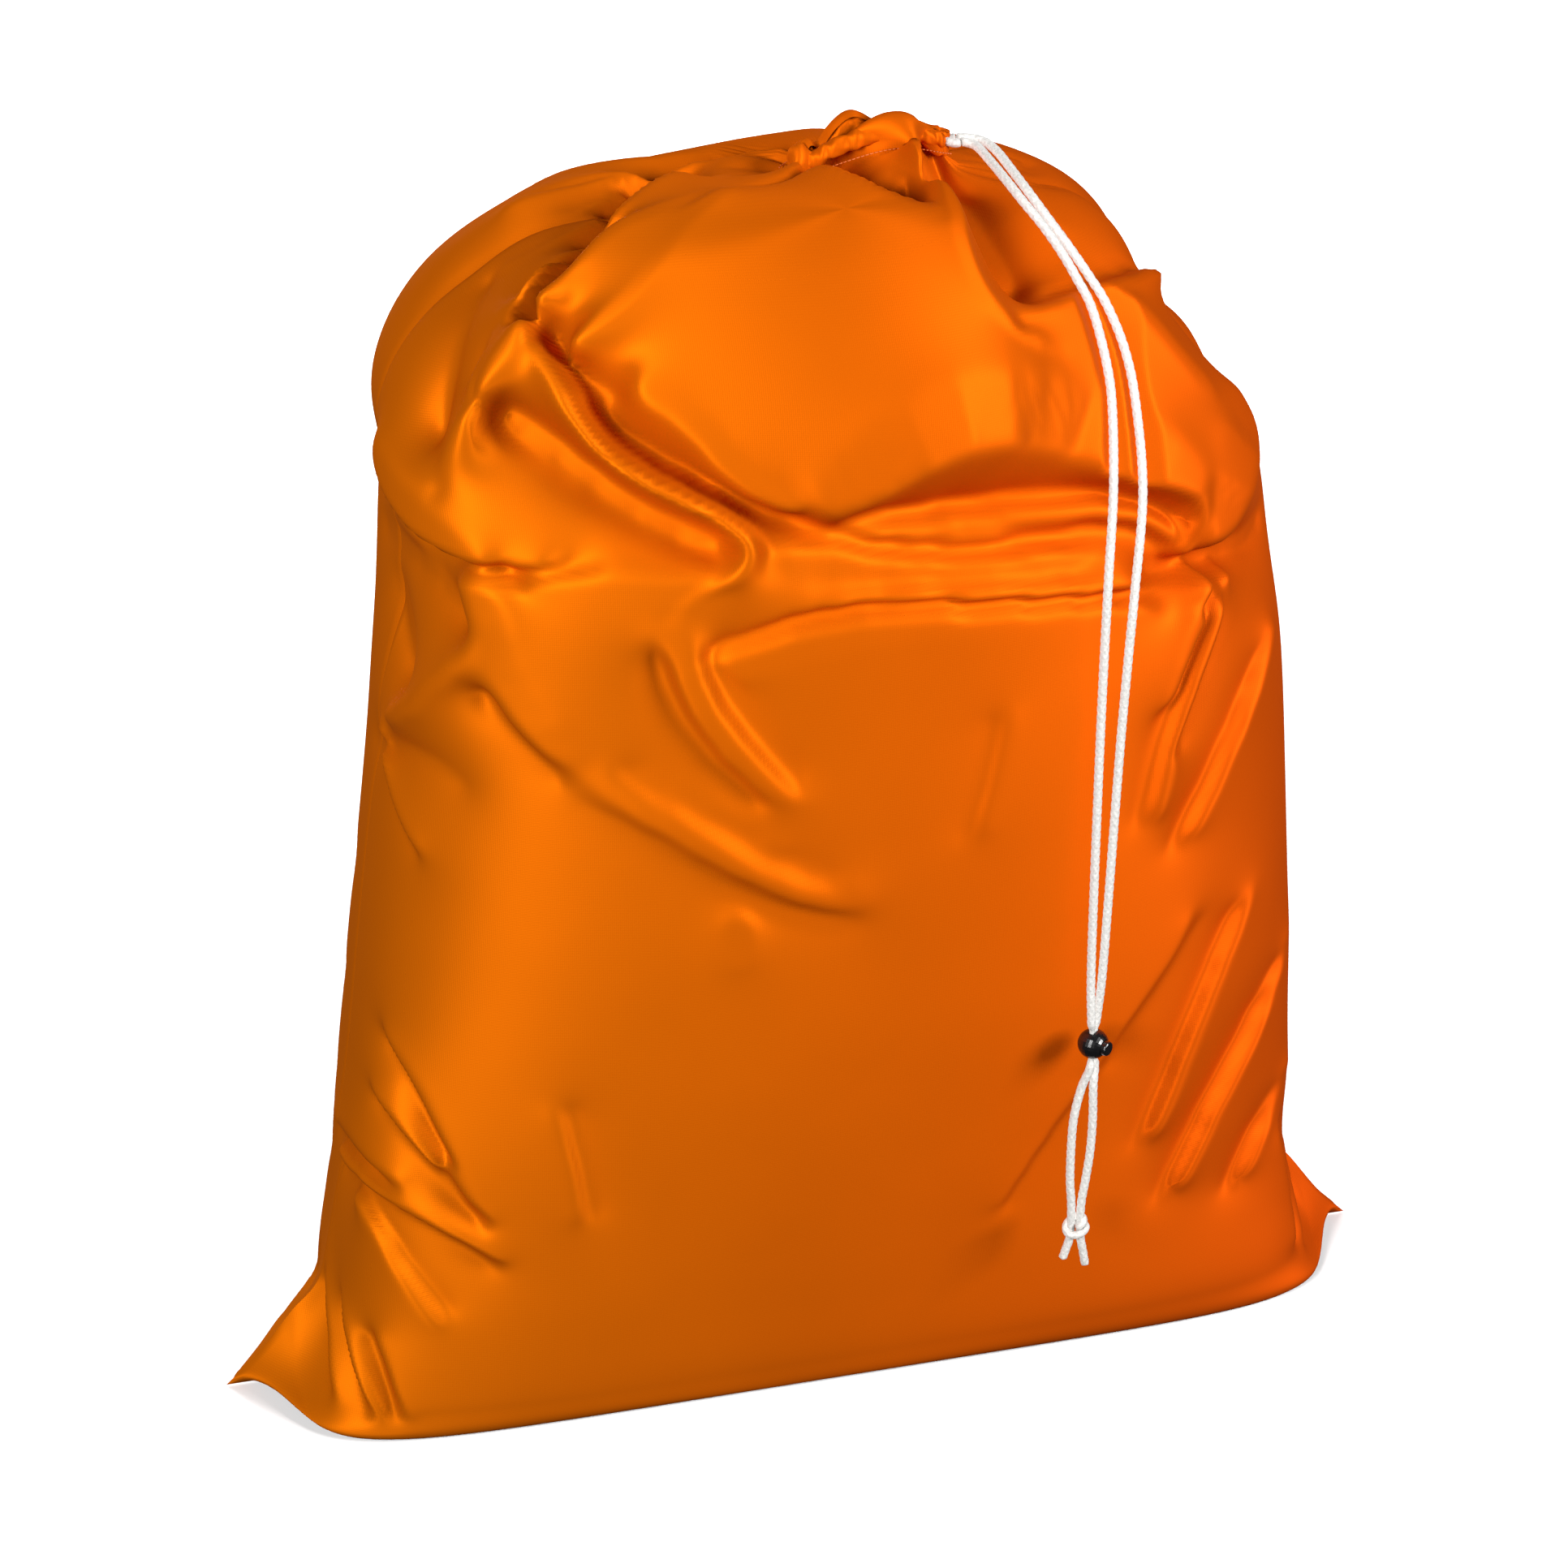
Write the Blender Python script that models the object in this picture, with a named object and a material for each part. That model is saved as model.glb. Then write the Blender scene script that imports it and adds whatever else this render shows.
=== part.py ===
"""A large two-panel nylon drawstring bag, standing full on its base, with its mouth drawn shut.

The bag is two flat rectangles of nylon sewn together at the sides and the bottom. Standing full, its
bottom seam lies on the floor, its two bottom corners stick out as pointed ears, and the mouth is
gathered into a small ring. A cord runs round inside the folded hem, leaves it at the right side seam,
hangs down over the front through a ball-shaped cord lock, and ends in a knot with two short tails.

Metres, +Z up. The front faces -Y, left is -X. The origin is at the middle of the base.
"""

import math

import bmesh
import bpy
import numpy as np
from mathutils import Matrix, Vector

# ---- Driving dimensions ----------------------------------------------------------------------------
WALL = 0.002  # a panel's wall, stouter than the cloth so that it is a real solid
GAP = 0.0003  # between pieces that touch on the real bag
SEAM_THICKNESS = 0.0012  # folded seam allowance, measured across the two panels
SEAM_ALLOWANCE = 0.008  # how far a seam allowance reaches into the bag
PANEL_EDGE = SEAM_THICKNESS / 2 + GAP  # the two panels' edges stand this far off the seam plane

MOUTH_CENTRE = Vector((0.038, 0.0, 0.7703))  # middle of the gathered hem's channel
MOUTH_RADIUS = 0.042
HEM_RADIUS = 0.007  # outside of the gathered hem
CHANNEL_RADIUS = 0.0038  # the drawcord's channel inside it
CORD_OPENING_DEG = 22.0  # half the gap in the hem at the right side seam
HEM_END_DEG = 178.6  # where each half hem stops, at the left side seam
HEM_RINGS = 17
HEM_SIDES = 12
THREAD_RADIUS = 0.0004

CORD_DIAMETER = 0.005
CORD_POINT_SPACING = 0.0125
OUTLET_X = 0.0885  # where the strands begin, clear of the hem

LOCK_CENTRE = Vector((0.1324, -0.161, 0.265))
LOCK_BALL_RADIUS = 0.0092
LOCK_AXIS_DEG = -52.0  # the button points to the right and forwards
PLUNGER_RADIUS = 0.0045
PLUNGER_END = 0.0113  # the button's face, from the ball's centre
PLUNGER_TRAVEL = 0.0025
BORE_BOTTOM = -0.0069  # the plunger's bore, from the ball's centre
CUT_REACH = 0.012  # past the ball's surface
PINCHED_CORD = 0.64  # the cord's diameter inside the lock, as a share of its free diameter
PINCHED_OFFSET = 0.00175  # each strand from the lock's middle, inside it
TOGETHER_OFFSET = 0.0029  # and just above and below it
PINCHED_REACH = 0.0105  # half the height over which the strands are pinched
TOGETHER_REACH = 0.017
SPRING_WIRE_RADIUS = 0.00022
SPRING_RADIUS = 0.0032
SPRING_TURNS = 3
KNOT_CENTRE = Vector((0.1259, -0.161, 0.137))
KNOT_SIZE = (0.0105, 0.0065, 0.0062)

# Rings of the full bag from the bottom seam to the mouth:
# height in the middle, height at the side seams, half width, half depth, squareness, middle x, tilt.
# The first three lie on the floor; between them and the side seams the corners rise as ears.
RINGS = np.array([
    (0.000, 0.000, 0.374, 0.000, 2.0, 0.000, 0.00),
    (0.000, 0.020, 0.354, 0.046, 4.0, 0.001, 0.00),
    (0.000, 0.046, 0.334, 0.090, 6.0, 0.002, 0.00),
    (0.026, 0.068, 0.317, 0.105, 5.0, 0.003, 0.00),
    (0.080, 0.104, 0.307, 0.117, 4.0, 0.004, 0.00),
    (0.160, 0.170, 0.300, 0.131, 3.2, 0.007, 0.00),
    (0.280, 0.280, 0.290, 0.147, 2.8, 0.011, 0.00),
    (0.400, 0.400, 0.278, 0.157, 2.6, 0.014, 0.00),
    (0.500, 0.500, 0.269, 0.163, 2.5, 0.014, -0.02),
    (0.575, 0.570, 0.266, 0.163, 2.4, 0.011, -0.06),
    (0.638, 0.628, 0.255, 0.153, 2.3, 0.006, -0.09),
    (0.692, 0.682, 0.225, 0.135, 2.2, 0.005, -0.09),
    (0.731, 0.724, 0.180, 0.110, 2.1, 0.010, -0.07),
    (0.754, 0.750, 0.125, 0.084, 2.0, 0.020, -0.04),
    (0.762, 0.761, 0.080, 0.062, 2.0, 0.031, -0.02),
    (0.763, 0.763, 0.042, 0.042, 2.0, 0.038, 0.00),
])
RING_STEPS = (0, 1, 2, 2.5, 3, 4, 5, 6, 7, 8, 9, 9.5, 10, 10.5, 11, 11.5, 12, 12.5, 13, 14, 15)
PANEL_COLUMNS = 22
EAR_HOLLOW = 0.304  # inside half width: the ears beyond it are closed
SIDE_RISE_POWER = 12  # how sharply a ring climbs to the side seam

# The free cord, from the hem to the knot, and its tails, chosen by hand. Both strands lie over the
# right shoulder and then hang straight down.
LEFT_ROUTE = [
    (0.0885, -0.0040, 0.7703), (0.0905, -0.0040, 0.7703), (0.0965, -0.0090, 0.7690),
    (0.0990, -0.0270, 0.7660),
    (0.1015, -0.0470, 0.7620), (0.1065, -0.0630, 0.7545), (0.1140, -0.0750, 0.7445),
    (0.1215, -0.0855, 0.7325), (0.1280, -0.0950, 0.7195), (0.1345, -0.1045, 0.7040),
    (0.1385, -0.1195, 0.6785), (0.1390, -0.1310, 0.6555), (0.1355, -0.1480, 0.6140),
    (0.1310, -0.1585, 0.5700), (0.1294, -0.1610, 0.5200), (0.1290, -0.1610, 0.4600),
    (0.1290, -0.1610, 0.3600), (0.1294, -0.1610, 0.3100),
]
RIGHT_ROUTE = [
    (0.0885, 0.0040, 0.7703), (0.0905, 0.0040, 0.7703), (0.0985, 0.0035, 0.7692),
    (0.1045, -0.0020, 0.7680), (0.1075, -0.0140, 0.7660), (0.1090, -0.0310, 0.7630), (0.1125, -0.0530, 0.7565),
    (0.1190, -0.0690, 0.7460), (0.1275, -0.0820, 0.7330), (0.1365, -0.0915, 0.7185),
    (0.1445, -0.0995, 0.7040), (0.1515, -0.1115, 0.6825), (0.1545, -0.1250, 0.6560),
    (0.1535, -0.1460, 0.6100), (0.1465, -0.1590, 0.5550), (0.1439, -0.1610, 0.5200),
    (0.1412, -0.1610, 0.4600), (0.1380, -0.1610, 0.3600), (0.1362, -0.1610, 0.3100),
]
LEFT_BELOW_LOCK = [
    (0.1262, -0.1610, 0.2350), (0.1222, -0.1610, 0.2148), (0.1212, -0.1610, 0.1925),
    (0.1214, -0.1610, 0.1705), (0.1226, -0.1610, 0.1560), (0.1230, -0.1610, 0.1437),
]
RIGHT_BELOW_LOCK = [
    (0.1336, -0.1610, 0.2346), (0.1341, -0.1610, 0.2129), (0.1334, -0.1610, 0.1906),
    (0.1312, -0.1610, 0.1700), (0.1293, -0.1610, 0.1560), (0.1288, -0.1610, 0.1437),
]
LEFT_TAIL = [(0.1225, -0.1610, 0.1295), (0.1207, -0.1610, 0.1225), (0.1184, -0.1610, 0.1147)]
RIGHT_TAIL = [(0.1293, -0.1610, 0.1295), (0.1312, -0.1610, 0.1190), (0.1332, -0.1610, 0.1078)]


# ---- Helpers ---------------------------------------------------------------------------------------
def clear_scene():
    for obj in list(bpy.data.objects):
        bpy.data.objects.remove(obj, do_unlink=True)


def material(name, colour, roughness, metallic=0.0):
    made = bpy.data.materials.new(name)
    made.use_nodes = True
    shader = made.node_tree.nodes["Principled BSDF"]
    shader.inputs["Base Color"].default_value = (*colour, 1.0)
    shader.inputs["Roughness"].default_value = roughness
    shader.inputs["Metallic"].default_value = metallic
    return made


def add_object(name, data, finish, parent=None):
    obj = bpy.data.objects.new(name, data)
    bpy.context.scene.collection.objects.link(obj)
    data.materials.append(finish)
    if parent:
        obj.parent = parent
    return obj


def add_empty(name, matrix, parent=None):
    empty = bpy.data.objects.new(name, None)
    bpy.context.scene.collection.objects.link(empty)
    empty.parent = parent
    empty.matrix_world = matrix
    return empty


def mesh_from(name, points, faces):
    mesh = bpy.data.meshes.new(name)
    mesh.from_pydata([tuple(p) for p in points], [], faces)
    edit = bmesh.new()
    edit.from_mesh(mesh)
    bmesh.ops.recalc_face_normals(edit, faces=edit.faces)
    if edit.calc_volume(signed=True) < 0:
        bmesh.ops.reverse_faces(edit, faces=edit.faces)
    edit.to_mesh(mesh)
    edit.free()
    mesh.shade_smooth()
    mesh.set_sharp_from_angle(angle=math.radians(40))
    return mesh


def closed_from_grids(name, outer, inner):
    """One closed body between two grids of the same size, joined round their borders.

    Each cell is split so that the cut starts at its lower outside corner, which keeps an ear's tip solid.
    """
    rows, columns = outer.shape[:2]
    index = np.arange(rows * columns).reshape(rows, columns)
    faces = []
    for offset in (0, rows * columns):
        for i in range(rows - 1):
            for j in range(columns - 1):
                a, b, c, d = (int(k) + offset for k in (
                    index[i, j], index[i, j + 1], index[i + 1, j + 1], index[i + 1, j]))
                faces += [(a, b, c), (a, c, d)] if j < (columns - 1) / 2 else [(a, b, d), (b, c, d)]
    border = (list(index[0, :]) + list(index[1:, -1])
              + list(index[-1, -2::-1]) + list(index[-2:0:-1, 0]))
    for a, b in zip(border, border[1:] + border[:1]):
        faces.append([int(a), int(b), int(b) + rows * columns, int(a) + rows * columns])
    return mesh_from(name, np.concatenate([outer.reshape(-1, 3), inner.reshape(-1, 3)]), faces)


def catmull_rom(rows, where):
    """Rows read at fractional positions along a smooth curve through all of them."""
    rows = np.asarray(rows, float)
    padded = np.vstack([2 * rows[0] - rows[1], rows, 2 * rows[-1] - rows[-2]])
    found = []
    for u in np.atleast_1d(where):
        i = min(int(u), len(rows) - 2)
        t = u - i
        a, b, c, d = padded[i:i + 4]
        found.append(0.5 * (2 * b + (c - a) * t + (2 * a - 5 * b + 4 * c - d) * t ** 2
                            + (3 * b - a - 3 * c + d) * t ** 3))
    return np.array(found)


def evenly_spaced(route, spacing):
    """Points every `spacing` along a smooth curve through the route's own points."""
    fine = catmull_rom(route, np.linspace(0, len(route) - 1, 40 * (len(route) - 1) + 1))
    along = np.concatenate([[0], np.cumsum(np.linalg.norm(np.diff(fine, axis=0), axis=1))])
    steps = np.linspace(0, along[-1], max(2, round(along[-1] / spacing)) + 1)
    return np.stack([np.interp(steps, along, fine[:, k]) for k in range(3)], axis=1)


def tube(name, points, radius, finish, parent=None, resolution=2, widths=None):
    curve = bpy.data.curves.new(name, "CURVE")
    curve.dimensions = "3D"
    curve.bevel_depth = radius
    curve.bevel_resolution = resolution
    curve.use_fill_caps = True
    spline = curve.splines.new("POLY")
    spline.points.add(len(points) - 1)
    for i, point in enumerate(points):
        spline.points[i].co = (*point, 1.0)
        spline.points[i].radius = 1.0 if widths is None else widths[i]
    return add_object(name, curve, finish, parent)


# ---- The cloth -------------------------------------------------------------------------------------
def half_ring(half_width, half_depth, squareness, columns):
    """Half of a squared ellipse, evenly spaced, from the left side seam round to the right one."""
    angle = np.linspace(0, math.pi, 361)
    x = -half_width * np.sign(np.cos(angle)) * np.abs(np.cos(angle)) ** (2 / squareness)
    y = half_depth * np.sin(angle) ** (2 / squareness)
    along = np.concatenate([[0], np.cumsum(np.hypot(np.diff(x), np.diff(y)))])
    steps = np.linspace(0, along[-1], columns + 1)
    return np.interp(steps, along, x), np.interp(steps, along, y)


def inward_normals(widths, heights):
    """Unit normals, pointing into the bag, of a profile that runs from the base to the mouth."""
    across, up = np.gradient(widths), np.gradient(heights)
    length = np.hypot(across, up)
    return -up / length, across / length


def panel_grid(side, inset):
    """A panel's surface, inset by a wall's thickness or by 0. side is -1 for the front, 1 for the back."""
    rings = catmull_rom(RINGS, RING_STEPS)
    middle, edge, width, depth, squareness, centre, tilt = rings.T
    depth_in, middle_in = inward_normals(depth, middle)
    width_in, edge_in = inward_normals(width, edge)
    floor = inset
    depth = np.maximum(depth + inset * depth_in, 0)
    middle = np.maximum(middle + inset * middle_in, floor)
    width = width + inset * width_in
    edge = np.maximum(edge + inset * edge_in, floor)
    if inset:
        width = np.minimum(width, EAR_HOLLOW)
    share = np.abs(np.linspace(-1, 1, PANEL_COLUMNS + 1)) ** SIDE_RISE_POWER
    grid = np.zeros((len(RING_STEPS), PANEL_COLUMNS + 1, 3))
    for i in range(len(RING_STEPS)):
        x, y = half_ring(width[i], depth[i], squareness[i], PANEL_COLUMNS)
        grid[i, :, 0] = centre[i] + x
        grid[i, :, 1] = side * np.maximum(y, PANEL_EDGE)
        grid[i, :, 2] = middle[i] + (edge[i] - middle[i]) * share + tilt[i] * x
    return grid


def make_panels(cloth):
    for name, side in (("front_panel", -1), ("back_panel", 1)):
        add_object(name, closed_from_grids(name, panel_grid(side, 0.0), panel_grid(side, WALL)), cloth)


def ribbon(name, outer, inner, finish):
    """A strip of seam allowance in the seam plane, between an outer and an inner edge."""
    half = SEAM_THICKNESS / 2
    sheets = []
    for y in (-half, half):
        sheets.append(np.array([[(x, y, z) for x, z in edge] for edge in (outer, inner)]))
    add_object(name, closed_from_grids(name, *sheets), finish)


def make_seams(cloth):
    rings = catmull_rom(RINGS, RING_STEPS)
    _, edge, width, _, _, centre, tilt = rings.T
    width_in, edge_in = inward_normals(width, edge)
    for name, sign in (("left_side_seam", -1), ("right_side_seam", 1)):
        x = centre + sign * width
        z = edge + tilt * sign * width
        outer = np.stack([x, z], axis=1)
        inner = np.stack([x + sign * SEAM_ALLOWANCE * width_in, z + SEAM_ALLOWANCE * edge_in], axis=1)
        # It starts above the ear's tip, where the bottom seam lies, and stops short of the hem.
        first = 0.6 * outer[1] + 0.4 * outer[0]
        first_in = 0.6 * inner[1] + 0.4 * inner[0]
        outer = np.vstack([first, outer[1:-1], 0.85 * outer[-1] + 0.15 * outer[-2]])
        inner = np.vstack([first_in, inner[1:-1], 0.85 * inner[-1] + 0.15 * inner[-2]])
        ribbon(name, outer, inner, cloth)
    reach, height = 0.346, 0.005
    columns = np.linspace(-reach, reach, 13)
    ribbon("bottom_seam", [(x, 0.0) for x in columns], [(x, height) for x in columns], cloth)


# ---- The mouth -------------------------------------------------------------------------------------
def mouth_point(angle, radius=MOUTH_RADIUS, drop=0.0):
    return MOUTH_CENTRE + Vector((radius * math.cos(angle), radius * math.sin(angle), -drop))


def make_hems(cloth):
    """Two half rings of folded cloth, each with an open channel for the cord."""
    first, last = math.radians(CORD_OPENING_DEG), math.radians(HEM_END_DEG)
    for name, side in (("front_hem", -1), ("back_hem", 1)):
        shells = []
        for radius in (HEM_RADIUS, CHANNEL_RADIUS):
            shell = []
            for angle in np.linspace(first, last, HEM_RINGS):
                out = Vector((math.cos(angle), side * math.sin(angle), 0))
                middle = MOUTH_CENTRE + MOUTH_RADIUS * out
                turns = [math.tau * k / HEM_SIDES for k in range(HEM_SIDES)]
                shell.append([middle + radius * (math.cos(t) * out + math.sin(t) * Vector((0, 0, 1)))
                              for t in turns])
            shells.append(shell)
        points = [p for shell in shells for ring in shell for p in ring]
        shell_size = HEM_RINGS * HEM_SIDES
        faces = []
        for k in range(HEM_SIDES):
            after = (k + 1) % HEM_SIDES
            for start in (0, shell_size):
                for ring in range(start, start + shell_size - HEM_SIDES, HEM_SIDES):
                    faces.append((ring + k, ring + after, ring + HEM_SIDES + after, ring + HEM_SIDES + k))
            for ring in (0, shell_size - HEM_SIDES):
                faces.append((ring + k, ring + after, ring + shell_size + after, ring + shell_size + k))
        add_object(name, mesh_from(name, points, faces), cloth)


def make_hem_stitching(thread):
    """The thread that closes each hem, just outside and below it."""
    away = HEM_RADIUS + GAP + THREAD_RADIUS
    slope = math.radians(40)
    radius = MOUTH_RADIUS + away * math.cos(slope)
    drop = away * math.sin(slope)
    for name, side in (("front_hem_stitching", -1), ("back_hem_stitching", 1)):
        angles = np.linspace(math.radians(26), math.radians(177), 25)
        tube(name, [mouth_point(side * a, radius, drop) for a in angles], THREAD_RADIUS, thread,
             resolution=1)


# ---- The cord --------------------------------------------------------------------------------------
def lock_directions():
    turn = math.radians(LOCK_AXIS_DEG)
    along = Vector((math.cos(turn), math.sin(turn), 0))
    return along, Vector((-along.y, along.x, 0))


def through_lock(side):
    """A strand's route through the lock: together, pinched, and together again."""
    _, across = lock_directions()
    return [LOCK_CENTRE + side * offset * across + Vector((0, 0, rise))
            for offset, rise in ((TOGETHER_OFFSET, TOGETHER_REACH), (PINCHED_OFFSET, PINCHED_REACH),
                                 (PINCHED_OFFSET, 0.0), (PINCHED_OFFSET, -PINCHED_REACH),
                                 (TOGETHER_OFFSET, -TOGETHER_REACH))]


def pinch(points):
    """The cord's width along a strand: free, and squeezed where the lock holds it."""
    widths = []
    for point in points:
        rise = abs(point[2] - LOCK_CENTRE.z)
        share = min(1.0, max(0.0, (rise - 0.0098) / 0.0042))
        widths.append(PINCHED_CORD + (1 - PINCHED_CORD) * share)
    return widths


def strand_points(above, side, below):
    """Evenly spaced points along a strand, closer together where it is pinched."""
    route = [Vector(p) for p in above] + through_lock(side) + [Vector(p) for p in below]
    fine = evenly_spaced(route, CORD_POINT_SPACING / 10)
    kept, last = [], None
    for i, point in enumerate(fine):
        near_lock = abs(point[2] - LOCK_CENTRE.z) < 0.018
        leaving = np.linalg.norm(point - fine[0]) < 0.01
        spacing = CORD_POINT_SPACING / (5 if near_lock or leaving else 1)
        if last is None or i == len(fine) - 1 or np.linalg.norm(point - last) >= 0.99 * spacing:
            kept.append(point)
            last = point
    return kept


def make_cord(cord):
    radius = CORD_DIAMETER / 2
    ring_start = CORD_OPENING_DEG + 0.5
    ring = [mouth_point(math.radians(a)) for a in np.linspace(ring_start, 360 - ring_start, 28)]
    z = MOUTH_CENTRE.z
    end = OUTLET_X - 2.5 * GAP
    outlet = [Vector((x, y, z)) for x, y in
              ((0.0800, -0.0085), (0.0828, -0.0052), (0.0858, -0.0040), (0.0870, -0.0040), (end, -0.0040))]
    inlet = [Vector((p.x, -p.y, p.z)) for p in reversed(outlet)]
    tube("drawcord_in_hem", evenly_spaced(inlet + ring + outlet, 0.003), radius, cord)
    for name, above, side, below, tail in (
        ("left", LEFT_ROUTE, -1, LEFT_BELOW_LOCK, LEFT_TAIL),
        ("right", RIGHT_ROUTE, 1, RIGHT_BELOW_LOCK, RIGHT_TAIL),
    ):
        points = strand_points(above, side, below)
        tube(f"drawcord_{name}_strand", points, radius, cord, widths=pinch(points))
        tube(f"drawcord_{name}_tail", evenly_spaced(tail, 0.006), radius, cord)
    knot = bpy.data.meshes.new("drawcord_knot")
    edit = bmesh.new()
    bmesh.ops.create_uvsphere(edit, u_segments=16, v_segments=10, radius=1.0)
    bmesh.ops.scale(edit, vec=KNOT_SIZE, verts=edit.verts)
    edit.to_mesh(knot)
    edit.free()
    knot.shade_smooth()
    add_object("drawcord_knot", knot, cord).location = KNOT_CENTRE


# ---- The cord lock ---------------------------------------------------------------------------------
def add_cutter(name, mesh_maker, matrix, parent):
    mesh = bpy.data.meshes.new(name)
    edit = bmesh.new()
    mesh_maker(edit)
    bmesh.ops.recalc_face_normals(edit, faces=edit.faces)
    edit.to_mesh(mesh)
    edit.free()
    cutter = bpy.data.objects.new(name, mesh)
    bpy.context.scene.collection.objects.link(cutter)
    cutter.parent = parent
    cutter.matrix_world = matrix
    cutter.hide_render = True
    cutter.display_type = "WIRE"
    return cutter


def cut(obj, cutter):
    boolean = obj.modifiers.new(cutter.name, "BOOLEAN")
    boolean.operation = "DIFFERENCE"
    boolean.object = cutter


def cylinder_between(edit, start, end, radius, segments=24):
    """A cylinder along local Z."""
    bmesh.ops.create_cone(edit, cap_ends=True, segments=segments, radius1=radius, radius2=radius,
                          depth=end - start, matrix=Matrix.Translation((0, 0, (start + end) / 2)))


def box_between(edit, low, high):
    low, high = Vector(low), Vector(high)
    bmesh.ops.create_cube(edit, size=1.0,
                          matrix=Matrix.Translation((low + high) / 2) @ Matrix.Diagonal((*(high - low), 1)))


def make_cord_lock(plastic, steel):
    """A ball with a sprung plunger across it. Local Z runs along the plunger, towards the button."""
    along, across = lock_directions()
    frame = Matrix((across, Vector((0, 0, -1)), along)).transposed().to_4x4()
    frame.translation = LOCK_CENTRE
    slide = add_empty("cord_lock_slide_axis", Matrix.Translation(LOCK_CENTRE))
    press = add_empty("button_press_axis", frame, slide)

    pinched = CORD_DIAMETER * PINCHED_CORD / 2
    slot_half_width = PINCHED_OFFSET + pinched + GAP
    slot_half_depth = pinched + GAP

    body = bpy.data.meshes.new("cord_lock_body")
    edit = bmesh.new()
    bmesh.ops.create_uvsphere(edit, u_segments=24, v_segments=16, radius=LOCK_BALL_RADIUS)
    edit.to_mesh(body)
    edit.free()
    ball = add_object("cord_lock_body", body, plastic, press)
    bore = add_cutter(
        "plunger_bore",
        lambda e: cylinder_between(e, BORE_BOTTOM, CUT_REACH, PLUNGER_RADIUS + GAP),
        frame, press)
    slot = add_cutter(
        "cord_slot",
        lambda e: box_between(e, (-slot_half_width, -CUT_REACH, -slot_half_depth),
                              (slot_half_width, CUT_REACH, slot_half_depth)),
        frame, press)
    cut(ball, bore)
    cut(ball, slot)

    hole_start = -pinched - GAP
    hole_end = pinched + GAP + PLUNGER_TRAVEL
    plunger_start = hole_start - 0.001
    plunger = bpy.data.meshes.new("cord_lock_button")
    edit = bmesh.new()
    cylinder_between(edit, plunger_start, PLUNGER_END, PLUNGER_RADIUS)
    top = [e for e in edit.edges if all(v.co.z > PLUNGER_END - 1e-6 for v in e.verts)]
    bmesh.ops.bevel(edit, geom=top, offset=0.0012, segments=3, affect="EDGES", profile=0.5)
    edit.to_mesh(plunger)
    edit.free()
    button = add_object("cord_lock_button", plunger, plastic, press)
    window = add_cutter(
        "plunger_window",
        lambda e: box_between(e, (-slot_half_width, -CUT_REACH, hole_start),
                              (slot_half_width, CUT_REACH, hole_end)),
        frame, press)
    cut(button, window)
    for mesh in (body, plunger):
        mesh.shade_smooth()
        mesh.set_sharp_from_angle(angle=math.radians(40))

    start, end = BORE_BOTTOM + SPRING_WIRE_RADIUS + GAP, plunger_start - SPRING_WIRE_RADIUS - GAP
    steps = SPRING_TURNS * 12
    helix = []
    for k in range(steps + 1):
        angle = math.tau * SPRING_TURNS * k / steps
        rise = start + (end - start) * k / steps
        helix.append(frame @ Vector((SPRING_RADIUS * math.cos(angle), SPRING_RADIUS * math.sin(angle), rise)))
    tube("cord_lock_spring", helix, SPRING_WIRE_RADIUS, steel, resolution=1)


def main():
    clear_scene()
    nylon = material("orange_nylon", (0.93, 0.17, 0.008), 0.45)
    seam_nylon = material("seam_nylon", (0.70, 0.12, 0.006), 0.55)
    thread = material("orange_thread", (0.85, 0.16, 0.01), 0.6)
    cord = material("white_braided_cord", (0.88, 0.87, 0.84), 0.75)
    plastic = material("black_plastic", (0.012, 0.012, 0.013), 0.25)
    steel = material("spring_steel", (0.6, 0.6, 0.62), 0.35, 1.0)
    make_panels(nylon)
    make_seams(seam_nylon)
    make_hems(nylon)
    make_hem_stitching(thread)
    make_cord(cord)
    make_cord_lock(plastic, steel)
    bpy.context.view_layer.update()


main()
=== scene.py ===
"""A large nylon drawstring bag, stuffed full and standing on its base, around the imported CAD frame.

Metres, Z up, the bag's front towards -Y. The camera and the cords come first, then the cloth, then the mouth,
the floor and the lights. The cloth is a smooth loft, held at given heights along the lines of its folds and
stretched over those lines as a taut membrane. The folds' tables are in millimetres.
"""
import math

import bpy
import numpy as np
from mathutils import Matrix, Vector


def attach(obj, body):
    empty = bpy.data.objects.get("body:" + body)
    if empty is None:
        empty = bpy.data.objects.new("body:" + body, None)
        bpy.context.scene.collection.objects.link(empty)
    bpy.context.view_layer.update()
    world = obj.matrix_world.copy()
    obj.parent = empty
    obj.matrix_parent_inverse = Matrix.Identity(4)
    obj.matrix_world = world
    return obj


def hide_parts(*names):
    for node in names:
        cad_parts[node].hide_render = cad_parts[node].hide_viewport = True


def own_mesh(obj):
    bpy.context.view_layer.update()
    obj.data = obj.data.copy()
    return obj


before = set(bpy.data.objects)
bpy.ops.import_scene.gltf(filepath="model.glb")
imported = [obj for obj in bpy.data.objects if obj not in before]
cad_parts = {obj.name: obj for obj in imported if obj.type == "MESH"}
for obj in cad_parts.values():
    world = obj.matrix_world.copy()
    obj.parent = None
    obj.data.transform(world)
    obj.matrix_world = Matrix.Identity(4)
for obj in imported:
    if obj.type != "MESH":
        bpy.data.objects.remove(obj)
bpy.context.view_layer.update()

# ---- Camera ----
CAMERA_PLACE = (-0.57, -2.08, 1.52)
CAMERA_TURN = (math.radians(62.0), 0.0, math.radians(-15.0))
CAMERA_LENS = 93.17
SENSOR_WIDTH = 36.0

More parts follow.
